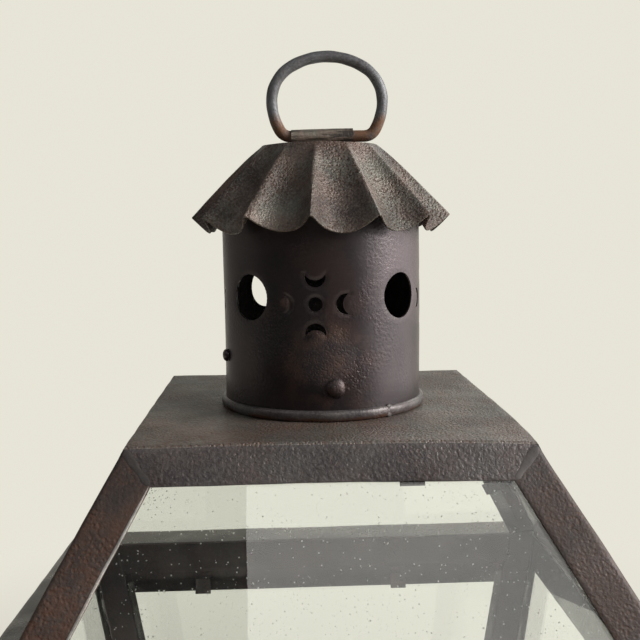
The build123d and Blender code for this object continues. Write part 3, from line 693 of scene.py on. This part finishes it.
hammered_iron = iron("hammered_iron", (0.032, 0.028, 0.029, 1), (0.094, 0.085, 0.084, 1),
                     (0.100, 0.052, 0.032, 1), rusty=0.28, lump=0.0018, pit=0.0018, spread=0.50,
                     depth=0.00029, speckle=0.40, rough=(0.44, 0.62), metal=0.25, edge=0.8, stain=0.2)
# The front right hip: coarser and more pitted than the others, and darker partly as painted shade
# against the lamp on its side.
pitted_shaded_iron = iron("pitted_shaded_iron", (0.023, 0.019, 0.018, 1), (0.054, 0.047, 0.045, 1),
                   (0.095, 0.046, 0.027, 1), rusty=0.34, lump=0.0013, pit=0.0017, spread=0.56,
                   depth=0.00011, calm=0.0, speckle=0.12, rough=(0.48, 0.68), metal=0.2, edge=0.9,
                   stain=0.35)
front_mitre = (plate_corner, np.cross(front_out, mitre_line))
side_mitre = tuple(np.array([-v[1], -v[0], v[2]]) for v in front_mitre)
for k in range(4):
    probe = corner_strip(plate_corner, roof_spread, hip_leg, (level * eave_top, level),
                         (level * plate_under, level))
    on_front = probe[0, :, 0] + probe[0, :, 1] < 0
    heads = [front_mitre if front else side_mitre for front in on_front]
    hip = corner_strip(plate_corner, roof_spread, hip_leg, (level * eave_top, level), heads)
    apron = face_strip(under_half, plate_under, roof_spread, apron_wide, 0.0,
                       (plate_corner, mitre_line))
    fit_turned(hip, k, corners, "hip_skin_", "roof_hip_", pitted_shaded_iron if k == 0 else hip_iron)
    fit_turned(apron, k, sides, "apron_skin_", "roof_apron_", hammered_iron)
solder = iron("solder", (0.038, 0.035, 0.034, 1), (0.092, 0.086, 0.083, 1), (0.085, 0.055, 0.042, 1),
              rusty=0.2, lump=0.0028, pit=0.0016, depth=0.00008, calm=0.6, speckle=0.1,
              rough=(0.46, 0.60), metal=0.3, edge=0.0)


def solder_run(first, last, out, wide, tall, seed, steps=26, around=12):
    """A run of solder from first to last: a low half-round whose width and height wander by
    sines, tapering to nothing at both ends, its flat side sunk a little into the sheet."""
    share = np.linspace(0, 1, steps)[:, None]
    along = (last - first) / np.linalg.norm(last - first)
    aside = np.cross(out, along)
    turn = np.linspace(0, 2 * pi, around, endpoint=False)[None, :]
    ends = np.sqrt(np.clip(1 - (2 * share - 1) ** 6, 0.02, 1))
    swell = ends * (1 + 0.22 * np.sin(6 * share + seed) + 0.07 * np.sin(15 * share + 2 * seed))
    across = (0.5 * wide * swell * np.cos(turn))[..., None] * aside
    lift = (tall * swell * (np.maximum(np.sin(turn), -0.35)))[..., None] * out
    return first + share[..., None] * (last - first) + across + lift


left_end = inner_corner * np.array([-1, 1, 1])
left_start = plate_corner * np.array([-1, 1, 1])
mitre_runs = []
for k in range(4):
    for side, (start, end) in enumerate(((plate_corner, inner_corner), (left_start, left_end))):
        run = solder_run(start * 0.96 + end * 0.04, end * 0.98 + start * 0.02, front_out, 3.6 * mm,
                         0.14 * mm, 3 * k + side)
        mitre_runs.append(worked(turned(run, k)))
fit(ringed("mitre_solder", *mitre_runs), solder, "lantern")
# A thin pale strip along the left inner edge of each hip: a painted highlight of that edge.
painted_edge_glint = iron("painted_edge_glint", (0.22, 0.21, 0.20, 1), (0.60, 0.58, 0.55, 1), (0.17, 0.11, 0.08, 1),
                  rusty=0.25, lump=0.0025, pit=0.0012, depth=0.00005, speckle=0.2, rough=(0.26, 0.45),
                  metal=0.6, edge=0.0)
edge_runs = []
edge_inset = np.array([0.40 * mm, 0, 0])
edge_foot = inner_corner - hip_line * (inner_corner[2] - eave_top - 1.0 * mm) / hip_line[2]
edge_first, edge_last = ((p + edge_inset) * np.array([-1, 1, 1]) for p in (inner_corner, edge_foot))
for k in range(4):
    run = solder_run(edge_first, edge_last, front_out, 1.1 * mm, 0.32 * mm, 2 * k, 60)
    edge_runs.append(worked(turned(run, k)))
fit(ringed("hip_glint_strips", *edge_runs), painted_edge_glint, "lantern")


# ---------------------------------------------------------------------------------------------
# Top plate: one square of sheet, open under the chimney, its edges bent down a little over the
# aprons and hammered smooth.

plate_hole = 44.0 * mm
plate_iron = iron("plate_iron", (0.052, 0.045, 0.041, 1), (0.135, 0.124, 0.114, 1),
                  (0.120, 0.058, 0.032, 1), rusty=0.50, lump=0.0014, pit=0.0012, spread=0.56,
                  depth=0.00022, calm=0.2, speckle=0.6, rough=(0.46, 0.62), metal=0.25, edge=0.6,
                  stain=0.35, cast=0.6, scars=(((10 * mm, -57 * mm, plate_top), 22 * mm),))


def square_rim(half, steps=56):
    """Points round a square at even steps, corner to corner, four sides."""
    along = np.linspace(-1, 1, steps, endpoint=False)
    side = np.stack([along * half, np.full(steps, -half), np.zeros(steps)], axis=1)
    return np.concatenate([turned(side, k) for k in range(4)])


rim = square_rim(1.0)
turn = np.arctan2(rim[:, 1], rim[:, 0])
round_rim = np.stack([np.cos(turn), np.sin(turn), np.zeros(len(turn))], axis=1)
rings = []
soft = 0.35 * mm
for share in np.linspace(0, 1, 16):
    blend = share**0.8
    rings.append(round_rim * plate_hole * (1 - blend) + rim * (plate_half - soft) * blend
                 + level * plate_top)
rings.append(rim * (plate_half - 0.1 * mm) + level * (plate_top - 0.1 * mm))
rings.append(rim * (plate_half + 0.1 * mm) + level * (plate_top - soft))
rings.append(rim * under_half + level * (plate_under + 0.1 * mm))
for share in np.linspace(0, 1, 8):
    rings.append(rim * (plate_half - soft) * (1 - share) + round_rim * plate_hole * share
                 + level * plate_under)
plate = np.array(rings)
fit(ringed("plate_skin", worked(plate), wrap=True), plate_iron, "lantern", "top_plate")


# ---------------------------------------------------------------------------------------------
# Chimney: a tube rolled from thin sheet, with four large round vents punched at the corners and
# a star of a hole and four crescents at the front and both sides, none behind. The front star's
# left crescent was struck but never went through.

chimney_low, chimney_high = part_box("chimney")
chimney_radius = chimney_high.x
chimney_wall = 1.0 * mm
chimney_foot, chimney_head = chimney_low.z, chimney_high.z
vent_radius, vent_height, vent_places = 11.3 * mm, 59.0 * mm, (46.4, 145.0, 216.0, -46.4)
star_height, star_turn, star_hole = 56.4 * mm, -5.9, 3.45 * mm
moon_near = (8.1 * mm, 10.2 * mm, 9.0 * mm, 9.8 * mm)
moon_thick, moon_tall, moon_half = 3.3 * mm, 6.1 * mm, 4.9 * mm
# Up on the right front, round the peel, the chimney is lighter: chalky flaking rust, and with it a
# painted highlight where the window lamp falls.
chimney_iron = iron("chimney_iron", (0.0060, 0.0042, 0.0052, 1), (0.024, 0.018, 0.020, 1),
                    (0.086, 0.042, 0.026, 1), rusty=0.30, lump=0.0014, pit=0.0011, spread=0.27,
                    sheen_tint=(1.0, 0.90, 0.90, 1.0), depth=0.00010, calm=0.93, speckle=0.3,
                    rough=(0.33, 0.46), metal=0.35, gloss=1.0,
                    stain=0.28, drawn=(55.0, 55.0, 500.0), furrows=0.07,
                    scars=(((0 * mm, -chimney_radius, chimney_foot + 29 * mm), 28 * mm),
                           ((-19.5 * mm, -chimney_radius * 0.92,
                             star_height + chimney_foot + mm), 4 * mm)),
                    peel_and_highlight=((0.84 * chimney_radius, -0.54 * chimney_radius, chimney_foot + 76 * mm),
                          40 * mm))
# Faces that look to the chimney's axis get this near-black material, darker than the outside.
inner_black, tree = new_material("inner_black")
place = own_place(tree)
flakes = noise(tree, place, 300.0, 5.0)
black = blended(tree, flakes["Fac"], (0.006, 0.005, 0.005, 1), (0.022, 0.018, 0.016, 1))
bump = add(tree, "ShaderNodeBump", {"Height": flakes["Fac"], "Strength": 1.0,
                                   "Distance": 0.0002})
surface = add(tree, "ShaderNodeBsdfPrincipled", {"Base Color": black, "Roughness": 0.9,
                                                "Specular IOR Level": 0.2, "Normal": bump.outputs[0]})
add(tree, "ShaderNodeOutputMaterial", {"Surface": surface.outputs[0]})


def half_turn(angle):
    """The same angle, within half a turn of 0."""
    return (angle + pi) % (2 * pi) - pi


def round_chimney(points, degrees):
    """Points made at the front, carried round the chimney."""
    c, s = cos(radians(degrees)), sin(radians(degrees))
    return points @ np.array([[c, s, 0], [-s, c, 0], [0, 0, 1]])


def tube_rings(radius, wall, low, high, around=240, up=44):
    """Rings up the outside of a rolled tube and down its inside, a little out of round: sines
    of the turn and of the height. Rings and points lie closer about the front star, where the
    left crescent was struck: inside its belly circle and outside its hollow one the wall is
    pushed in, more so towards the belly."""
    star_up, star_aside = low + star_height, radians(star_turn)
    turn = np.unique(np.concatenate([
        np.linspace(0, 2 * pi, around, endpoint=False),
        (2 * pi + star_aside - np.linspace(-18, 18, 46) * mm / radius) % (2 * pi)]))
    heights = np.unique(np.concatenate([np.linspace(low, high, up),
                                        star_up + np.linspace(-18, 18, 44) * mm]))
    uneven = 0.25 * mm * np.sin(2 * turn + 0.6) + 0.12 * mm * np.sin(5 * turn + 2.0)
    dent = 0.15 * mm * np.sin(heights[:, None] * 60 + 3 * turn[None, :])
    left = half_turn(star_aside - turn[None, :]) * radius
    above = heights[:, None] - star_up

    def outside(near):
        """How far points lie outside the crescent's circle that starts this near the star."""
        rise = moon_near[1] + moon_tall - near
        size = (moon_half**2 + rise**2) / (2 * rise)
        return np.hypot(left - near - size, above) - size
    struck = np.clip(-outside(moon_near[1]) / (0.5 * mm), 0, 1) * np.clip(
        outside(moon_near[1] + moon_thick) / (0.8 * mm), 0, 1)
    outer = radius - 0.3 * mm + uneven[None, :] + dent - 0.55 * mm * struck
    inner = outer - wall

    def ring(r, z):
        """Points at these distances from the axis, at these heights."""
        return np.stack([r * np.sin(turn), -r * np.cos(turn), np.broadcast_to(z[:, None], r.shape)],
                        axis=-1)
    return np.concatenate([ring(outer, heights), ring(inner, heights)[::-1]])


def prism(outline, depth, height, turn):
    """A cutter: an outline in the wall's face (across, up) carried from in front to behind the
    wall, at a height up the chimney, turned round it."""
    rows = []
    for y in (-chimney_radius - depth, -chimney_radius + depth):
        flat = np.stack([outline[:, 0], np.full(len(outline), y), outline[:, 1] + height], axis=1)
        rows.append(round_chimney(flat, turn))
    return np.array(rows)


def round_outline(radius, steps=40):
    """A circle, as (across, up)."""
    turn = np.linspace(0, 2 * pi, steps, endpoint=False)
    return np.stack([radius * np.cos(turn), radius * np.sin(turn)], axis=1)


def crescent_outline(quarters):
    """Belly and hollow of a crescent, two arcs through the same horns, turned in its star."""
    def arc(near, first, last, steps=14):
        """The part between the horns of the circle that starts this near the star."""
        rise = moon_near[quarters] + moon_tall - near
        radius = (moon_half**2 + rise**2) / (2 * rise)
        span = np.arcsin(min(1.0, moon_half / radius))
        span = span if rise < radius else pi - span
        turn = np.linspace(first, last, steps) * span
        return np.stack([radius * np.sin(turn), near + radius * (1 - np.cos(turn))], axis=1)
    belly = moon_near[quarters]
    both = np.concatenate([arc(belly, -1, 1), arc(belly + moon_thick, 1, -1)[1:-1]])
    c, s = cos(quarters * pi / 2), sin(quarters * pi / 2)
    return both @ np.array([[c, s], [-s, c]])


def pressed_in(points, outlines, deep=0.36 * mm, wide=1.3 * mm):
    """Sheet gives way under a punch: each point sinks towards the tube's axis by a bell curve
    of its distance from the nearest punched outline, an outline being (across, up, turn)."""
    turn, reach = np.arctan2(points[:, 0], -points[:, 1]), np.hypot(points[:, 0], points[:, 1])
    nearest = np.full(len(points), 1.0)
    for outline, height, place in outlines:
        across = half_turn(turn - radians(place)) * chimney_radius
        close = np.hypot(across, points[:, 2] - height) < 20 * mm
        wrapped = chimney_radius * np.arcsin(outline[None, :, 0] / chimney_radius)
        off = np.hypot(across[close, None] - wrapped,
                       points[close, 2][:, None] - height - outline[None, :, 1]).min(axis=1)
        nearest[close] = np.minimum(nearest[close], off)
    sunk = 1 - deep * np.exp(-(nearest / wide) ** 2) / reach
    return points * np.stack([sunk, sunk, np.ones(len(points))], axis=1)


def pierced(name, tube, cutter, outlines):
    """The tube less the cutter's shapes, as a plain mesh; the cutter is thrown away. The sheet
    sinks about the holes; also given back is a mask of the faces that look to the axis, which
    get a near-black material."""
    cut = tube.modifiers.new("cut", "BOOLEAN")
    cut.operation, cut.solver, cut.object = "DIFFERENCE", "EXACT", cutter
    worked_out = tube.evaluated_get(bpy.context.evaluated_depsgraph_get())
    shaped = bpy.data.meshes.new_from_object(worked_out)
    shaped.name = name
    made = placed(name, shaped)
    for used in (tube, cutter):
        bpy.data.objects.remove(used)
    places = np.empty(3 * len(shaped.vertices), np.float32)
    shaped.vertices.foreach_get("co", places)
    pressed = pressed_in(places.reshape(-1, 3).astype(float), outlines)
    shaped.vertices.foreach_set("co", pressed.ravel())
    middles, normals = (np.empty(3 * len(shaped.polygons), np.float32) for _ in range(2))
    shaped.polygons.foreach_get("center", middles)
    shaped.polygons.foreach_get("normal", normals)
    outward = (middles.reshape(-1, 3)[:, :2] * normals.reshape(-1, 3)[:, :2]).sum(axis=1)
    shaped.set_sharp_from_angle(angle=radians(40))
    return made, (outward < -0.5 * chimney_radius).astype(np.int32)


vent_middle, star_middle = chimney_foot + vent_height, chimney_foot + star_height
outlines = [(round_outline(vent_radius), vent_middle, place) for place in vent_places]
punches = [prism(outline, 9 * mm, height, place) for outline, height, place in outlines]
for side, moons in ((0, (0, 2, 3)), (1, range(4)), (3, range(4))):
    aim = star_turn + 90 * side
    outlines.append((round_outline(star_hole), star_middle, aim))
    outlines += [(crescent_outline(quarters), star_middle, aim) for quarters in moons]
punches += [prism(outline, 6 * mm, height, place) for outline, height, place in outlines[4:]]
tube = ringed("tube", tube_rings(chimney_radius, chimney_wall, chimney_foot, chimney_head), wrap=True)
cutter = ringed("punches", *punches)
cutter.data.attributes["wear"].data.foreach_set("value", np.ones(len(cutter.data.vertices)))
chimney, facing_axis = pierced("chimney_skin", tube, cutter, outlines)
fit(chimney, chimney_iron, "lantern", "chimney")
chimney.data.materials.append(inner_black)
chimney.data.polygons.foreach_set("material_index", facing_axis)


# ---------------------------------------------------------------------------------------------
# Bead: a strip of sheet rolled to a half round and bent round the chimney's foot; its ends lap
# at the front right, where solder has run.

bead_low, bead_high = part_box("chimney_bead")
bead_stand = bead_high.x - chimney_radius
bead_tall = bead_high.z - bead_low.z
bead_lap = radians(35)
turn = np.linspace(0, 2 * pi, 300, endpoint=False)
across = np.linspace(0, pi, 12)
bulge = np.stack([bead_stand * np.sin(across) ** 0.8,
                  bead_tall * (0.5 - 0.5 * np.cos(across))], axis=1)
back = np.array([[-0.5 * mm, bead_tall * 0.97], [-0.5 * mm, bead_tall * 0.03]])
bead_outline = np.concatenate([bulge, back])
swell = 1 + 0.06 * np.sin(7 * turn) + 0.05 * np.sin(17 * turn + 1) - 0.18 * np.exp(
    -(half_turn(turn - bead_lap) / 0.02) ** 2)
bead_rings = []
for angle, size in zip(turn, swell):
    reach = chimney_radius + bead_outline[:, 0] * np.where(bead_outline[:, 0] > 0, size, 1)
    bead_rings.append(np.stack([reach * sin(angle), -reach * cos(angle),
                                bead_low.z + bead_outline[:, 1]], axis=1))
bead_iron = iron("bead_iron", (0.040, 0.034, 0.036, 1), (0.15, 0.138, 0.135, 1),
                 (0.085, 0.040, 0.024, 1), rusty=0.35, lump=0.0012, pit=0.0011, spread=0.4,
                 depth=0.00010, calm=0.5, speckle=0.35, rough=(0.36, 0.54), metal=0.45,
                 rust_under=bead_low.z + 1.2 * mm, rust_fade=1.2 * mm)
fit(ringed("bead_skin", np.array(bead_rings), wrap=True), bead_iron, "lantern", "chimney_bead")
lap_out = np.array([sin(bead_lap), -cos(bead_lap), 0])
lap_foot = lap_out * (chimney_radius + 0.75 * bead_stand) + np.array([0, 0, bead_low.z])
lap_head = (lap_out * (chimney_radius + 0.15 * bead_stand)
            + np.array([0.8 * mm, 0, bead_high.z + 0.6 * mm]))
lap_run = solder_run(lap_foot, lap_head, lap_out, 3.2 * mm, 0.35 * mm, 2.0)
fit(ringed("bead_solder", lap_run), solder, "lantern")


# ---------------------------------------------------------------------------------------------
# Chimney rivets: soft iron, hammered to uneven round heads, one at the front, one at each side
# and one behind, through the tube's wall.

rivet_places = ((4.4, 16.2, 4.8), (-74.8, 27.8, 3.2), (116.0, 24.0, 3.2), (197.0, 20.0, 3.2))
rivet_rows = []
around = np.linspace(0, 2 * pi, 32, endpoint=False)
for place, height, head in rivet_places:
    rivet_head, rivet_rise = head * mm, 0.66 * head * mm
    dome = []
    for share in np.linspace(0, 1, 9)[:-1]:
        reach = rivet_head * cos(share * pi / 2) * (1 + 0.05 * np.sin(3 * around + place))
        sunk = 0.3 * mm * (share == 0)
        front = np.full(32, -chimney_radius - rivet_rise * sin(share * pi / 2) + sunk)
        dome.append(np.stack([reach * np.cos(around), front, reach * np.sin(around)], axis=1))
    dome = np.array(dome) + np.array([0, 0, chimney_foot + height * mm])
    rivet_rows.append(round_chimney(dome, place))
fit(ringed("rivet_heads", *rivet_rows), chimney_iron, "lantern", "chimney_rivets")


# ---------------------------------------------------------------------------------------------
# Fluted cap: one disc of sheet, its skirt worked into thirteen hollow flutes with narrow ridges
# between them, soldered to the chimney's edge where the flutes touch it.

cap_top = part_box("fluted_cap")[1].z
flutes, flute_turn = 13, -6.4
cap_sheet = 1.0 * mm
disc_radius = 30.0 * mm
ridge_run, ridge_drop = 37.0 * mm, 35.8 * mm
trough_run, trough_drop = 29.0 * mm, 43.4 * mm
cap_iron = iron("cap_iron", (0.032, 0.026, 0.025, 1), (0.20, 0.180, 0.160, 1),
                (0.125, 0.060, 0.034, 1), rusty=0.32, lump=0.0010, pit=0.0013, spread=0.54,
                depth=0.00024, speckle=0.45,
                rough=(0.46, 0.66), metal=0.3, edge=0.0, stain=0.70, cast=0.8, black_pits=0.75)


def cap_surface(share, turn):
    """Place on the cap's outside. share runs 0 to 1 from the disc's edge down to the rim. Each
    flute is an arc of a circle between two ridge lines, deepest halfway: its depth goes with
    the square root of one less the square of the place between the ridges. Near a ridge that
    place is slowed to a stop by a parabola, which rounds the ridge."""
    phase = (turn - radians(flute_turn)) * flutes / (2 * pi)
    number = np.floor(phase)
    between = 2 * (phase - number) - 1
    crest = 0.20
    slowed = np.abs(between) - np.clip(np.abs(between) - 1 + crest, 0, 1) ** 2 / (2 * crest)
    curl = 0.95 / (1 - crest / 2)
    rise = (1 - np.sqrt(1 - (curl * slowed) ** 2)) / (1 - sqrt(1 - 0.95**2))
    uneven = 0.6 * mm * np.sin(number * 2.4 + 1) * (1 - between**2) * share
    early = np.clip(share, 1e-6, 1) ** 0.82 * (share > 0)
    reach = disc_radius + share * trough_run + early * (ridge_run - trough_run) * rise
    drop = share * trough_drop + early * (ridge_drop - trough_drop) * rise + uneven
    sway = radians(0.9) * np.sin(number * 1.7) * share * (1 - between**2)
    soft = 1.1 * mm * np.exp(-share / 0.05) * (share > 0)
    return np.stack([reach * np.sin(turn + sway), -reach * np.cos(turn + sway),
                     cap_top - drop - soft * share * 8], axis=-1)


cap_turn = np.linspace(0, 2 * pi, flutes * 28, endpoint=False) + radians(flute_turn)
cap_share = np.linspace(0, 1, 46)
shares, turns = np.meshgrid(cap_share, cap_turn, indexing="ij")
skirt = cap_surface(shares, turns)
inner_disc = np.array([[np.sin(cap_turn) * r, -np.cos(cap_turn) * r, np.full(len(cap_turn), cap_top)]
                       for r in np.linspace(0.4 * mm, disc_radius, 8)[:-1]]).transpose(0, 2, 1)
outside = np.concatenate([inner_disc, skirt])
down = np.gradient(outside, axis=0)
round_about = np.roll(outside, -1, axis=1) - np.roll(outside, 1, axis=1)
normal = np.cross(down, round_about)
normal /= np.linalg.norm(normal, axis=2, keepdims=True)
normal *= np.sign(normal[..., 2:].mean())
inside = outside - normal * cap_sheet
downhill = down[-1] / np.linalg.norm(down[-1], axis=1, keepdims=True)
rounded = [outside[-1] - normal[-1] * cap_sheet * (0.5 - 0.5 * cos(t))
           + downhill * cap_sheet * 0.4 * sin(t)
           for t in (pi / 5, 2 * pi / 5, 3 * pi / 5, 4 * pi / 5)]
cap_rings = np.concatenate([outside, np.array(rounded), inside[::-1]])
fit(ringed("cap_skin", worked(cap_rings, 0.2 * mm), smooth=50), cap_iron, "lantern", "fluted_cap")


# ---------------------------------------------------------------------------------------------
# Strap: a strip of sheet rolled round the ring's straight run, its lips closed underneath in
# front and soldered down on the cap's disc. Handled bright and grey.

strap_low, strap_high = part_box("ring_strap")
ring_low, ring_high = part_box("hanging_ring")
rod_radius = 3.0 * mm
rod_height = ring_low.z + rod_radius
ring_middle = (ring_low.x + ring_high.x) / 2
strap_outer = strap_high.z - rod_height
strap_wall = strap_outer - rod_radius - 0.08 * mm
strap_iron = iron("strap_iron", (0.036, 0.031, 0.027, 1), (0.36, 0.33, 0.29, 1),
                  (0.15, 0.09, 0.055, 1), rusty=0.2, lump=0.0012, pit=0.0012, spread=0.3,
                  depth=0.00012, speckle=0.2,
                  rough=(0.38, 0.58), metal=0.4, stain=0.3, drawn=(95.0, 620.0, 620.0),
                  furrows=1.25, cast=0.8)
gap = radians(14)
roll = np.linspace(-0.5 * pi - 0.55 + gap, 1.5 * pi - 0.55 - 0.2, 60)
roll_middle = np.stack([(strap_outer - strap_wall / 2) * np.cos(roll),
                        (strap_outer - strap_wall / 2) * np.sin(roll)], axis=1)
strap_outline = sheet_section(roll_middle, strap_wall)
strap_outline = np.stack([np.zeros(len(strap_outline)), strap_outline[:, 0],
                          strap_outline[:, 1] + rod_height], axis=1)
strap_rows = carried(strap_outline, to_right, (to_right * strap_low.x, to_right),
                     (to_right * strap_high.x, to_right), step=1.2 * mm)
share = ((strap_rows[..., 0] - strap_low.x) / (strap_high.x - strap_low.x))[..., None]
pinch = 0.6 * mm * (1 - share) ** 2 * np.clip((strap_rows[..., 2:] - rod_height) / strap_outer, 0, 1)
strap_rows = strap_rows - pinch * np.array([0, 0, 1])
fit(ringed("strap_skin", strap_rows), strap_iron, "lantern", "ring_strap")
strap_runs = [solder_run(np.array([strap_low.x + 2 * mm, side * 2.9 * mm, cap_top + 0.1 * mm]),
                         np.array([strap_high.x - 0.4 * mm, side * 3.1 * mm, cap_top + 0.1 * mm]),
                         np.array([0, side * 0.5, 0.85]), 2.6 * mm, 0.75 * mm, 5 + side)
              for side in (-1, 1)]
fit(ringed("strap_solder", *strap_runs), solder, "lantern")


# ---------------------------------------------------------------------------------------------
# Hanging ring: round bar bent to a D, dark and smooth where hands and hooks rub, rusty near the
# strap where the wet sits.

ring_half, ring_widest, ring_tall = 28.6 * mm, 18.0 * mm, 40.4 * mm
ring_straight, ring_low_side, ring_side = 19.1 * mm, 30.0 * mm, 20.0 * mm
ring_iron = iron("ring_iron", (0.070, 0.069, 0.072, 1), (0.155, 0.157, 0.163, 1),
                 (0.150, 0.078, 0.044, 1), rusty=0.24, lump=0.0014, pit=0.0012, spread=0.44,
                 depth=0.00010, speckle=0.45,
                 rough=(0.46, 0.62), metal=0.3, gloss=0.45, cast=0.1, rust_under=rod_height + 4 * mm,
                 rust_fade=7 * mm)


def ring_path(step=0.9 * mm):
    """The rod's middle line, from the middle of the straight run round and back to it: straight,
    a tight corner, a low side arc out to the widest place, a side arc and a wide top arc, each
    circle touching the next where they meet."""
    rise, inset = ring_tall - ring_widest, ring_half - ring_side
    arch = (inset**2 + rise**2 - ring_side**2) / (2 * (rise - ring_side))
    arch_foot = ring_tall - arch
    tilt = np.arctan2(ring_widest - arch_foot, inset)
    ahead = ring_straight - ring_half + ring_low_side
    corner = (ahead**2 + ring_widest**2 - ring_low_side**2) / (2 * (ring_widest - ring_low_side))
    low = np.arctan2(corner - ring_widest, ahead)

    def arc(cx, cz, radius, first, last):
        """Points on a circle from one angle to another."""
        turn = np.linspace(first, last, max(6, int(abs(last - first) * radius / step)))
        return np.stack([cx + radius * np.cos(turn), cz + radius * np.sin(turn)], axis=1)
    line = np.linspace(0, ring_straight, int(ring_straight / step))
    half = np.concatenate([
        np.stack([line, 0 * line], axis=1),
        arc(ring_straight, corner, corner, -pi / 2, low)[1:],
        arc(ring_half - ring_low_side, ring_widest, ring_low_side, low, 0)[1:],
        arc(inset, ring_widest, ring_side, 0, tilt)[1:],
        arc(0, arch_foot, arch, tilt, pi / 2)[1:]])
    return np.concatenate([half, half[::-1][1:-1] * np.array([-1, 1])])


path = ring_path()
ahead_of = np.roll(path, -1, axis=0) - np.roll(path, 1, axis=0)
ahead_of /= np.linalg.norm(ahead_of, axis=1, keepdims=True)
outward = np.stack([ahead_of[:, 1], -ahead_of[:, 0]], axis=1)
around = np.linspace(0, 2 * pi, 28, endpoint=False)
free = np.clip((path[:, 1] - 3 * mm) / (10 * mm), 0, 1)
length = np.cumsum(np.linalg.norm(np.diff(path, axis=0, append=path[:1]), axis=1))
thick = rod_radius - 0.10 * mm * free * (1 + np.sin(length * 520) * np.sin(length * 170 + 1))
rod = path[:, None, :] + outward[:, None, :] * (np.cos(around)[None, :, None]
                                                * thick[:, None, None])
ring_rows = np.stack([rod[..., 0] + ring_middle, np.sin(around)[None, :] * thick[:, None],
                      rod[..., 1] + rod_height], axis=-1)
fit(ringed("ring_skin", ring_rows, wrap=True), ring_iron, "ring", "hanging_ring")


# ---------------------------------------------------------------------------------------------
# Window glass: thin old panes, dusty and a little uneven, let in behind the strips of the body,
# the roof and the door, and held by bent tabs of sheet.

def window_glass(name, grimy):
    """Clear glass with specks of paint and dirt, a thin uneven film of dust, and dark grime in
    the grimy corners, each a place and a radius."""
    material, tree = new_material(name)
    place = own_place(tree)
    wander = noise(tree, place, 90.0, 3.0)
    shift = add(tree, "ShaderNodeVectorMath", {0: wander["Color"], "Scale": 0.006},
                operation="SCALE")
    moved = add(tree, "ShaderNodeVectorMath", {0: place, 1: shift.outputs[0]}, operation="ADD")
    specks = add(tree, "ShaderNodeTexVoronoi", {"Vector": moved.outputs[0], "Scale": 470.0})
    kept = add(tree, "ShaderNodeSeparateColor", {0: specks.outputs["Color"]}).outputs[0]
    film = noise(tree, place, 22.0, 6.0)
    thick = calc(tree, kept, calc(tree, film["Fac"], 0.9), "ADD")
    dots = calc(tree, ramp(tree, specks.outputs["Distance"], 0.20, 0.07),
                ramp(tree, thick, 0.95, 1.40))
    haze = ramp(tree, film["Fac"], 0.45, 0.85)
    dirt = calc(tree, dots, 0.8)
    rough = calc(tree, calc(tree, haze, 0.03), dirt, "MAXIMUM")
    tint = blended(tree, dirt, (0.935, 0.95, 0.93, 1), (0.62, 0.61, 0.56, 1))
    crumbs = add(tree, "ShaderNodeTexVoronoi", {"Vector": moved.outputs[0], "Scale": 1250.0})
    chosen = add(tree, "ShaderNodeSeparateColor", {0: crumbs.outputs["Color"]}).outputs[1]
    for corner, radius in grimy:
        off = add(tree, "ShaderNodeVectorMath", {0: place, 1: tuple(corner)}, operation="DISTANCE")
        thin = add(tree, "ShaderNodeMapRange", {"Value": off.outputs["Value"], "From Max": radius,
                                               "To Min": 0.45, "To Max": 1.02})
        there = calc(tree, chosen, thin.outputs[0], "GREATER_THAN")
        spot = calc(tree, ramp(tree, crumbs.outputs["Distance"], 0.36, 0.24), there)
        tint = blended(tree, spot, tint, (0.035, 0.032, 0.028, 1))
    ripple = noise(tree, place, 14.0, 1.0)
    bump = add(tree, "ShaderNodeBump", {"Height": ripple["Fac"], "Strength": 0.25,
                                       "Distance": 0.0006})
    surface = add(tree, "ShaderNodeBsdfPrincipled", {
        "Base Color": tint, "Roughness": rough, "IOR": 1.5, "Normal": bump.outputs[0],
        "Transmission Weight": 1.0})
    add(tree, "ShaderNodeOutputMaterial", {"Surface": surface.outputs[0]})
    return material


pane_glass = window_glass("pane_glass", ((left_end - front_out * mm, 16 * mm),
                                        (inner_corner - front_out * mm, 9 * mm)))
panes = [n for n in nodes if n.startswith(("roof_glass_", "body_glass_")) and "tabs" not in n]
dress(pane_glass, *panes, "door_glass")
for name in ("roof_glass_tabs", "body_glass_tabs"):
    fit(eased(name, 0.15 * mm), frame_iron, "lantern", name)


# ---------------------------------------------------------------------------------------------
# Door: a frame of the same strips, lapped over the outside of the back posts and rails, with a
# pane held in by tabs.

for name in ("door_stile_latch", "door_stile_hinge", "door_rail_bottom", "door_rail_top",
             "door_glass_tabs"):
    fit(eased(name), frame_iron, "door", name)


# ---------------------------------------------------------------------------------------------
# Door fittings: two pairs of hinge leaves rolled round pins, and a turn button on a rivet that
# swings in under its keeper. Forged, darker and more worn than the sheet.

fittings_iron = iron("fittings_iron", (0.034, 0.029, 0.027, 1), (0.165, 0.148, 0.132, 1),
                     (0.12, 0.058, 0.030, 1), rusty=0.3, lump=0.0014, depth=0.00016,
                     rough=(0.36, 0.6), metal=0.6)
for name in ("hinge_frame_leaves", "hinge_pins", "latch_keeper"):
    fit(eased(name, 0.12 * mm), fittings_iron, "lantern", name)
for name in ("hinge_door_leaves", "latch_rivet"):
    fit(eased(name, 0.12 * mm), fittings_iron, "door", name)
fit(eased("latch_button"), fittings_iron, "latch", "latch_button")
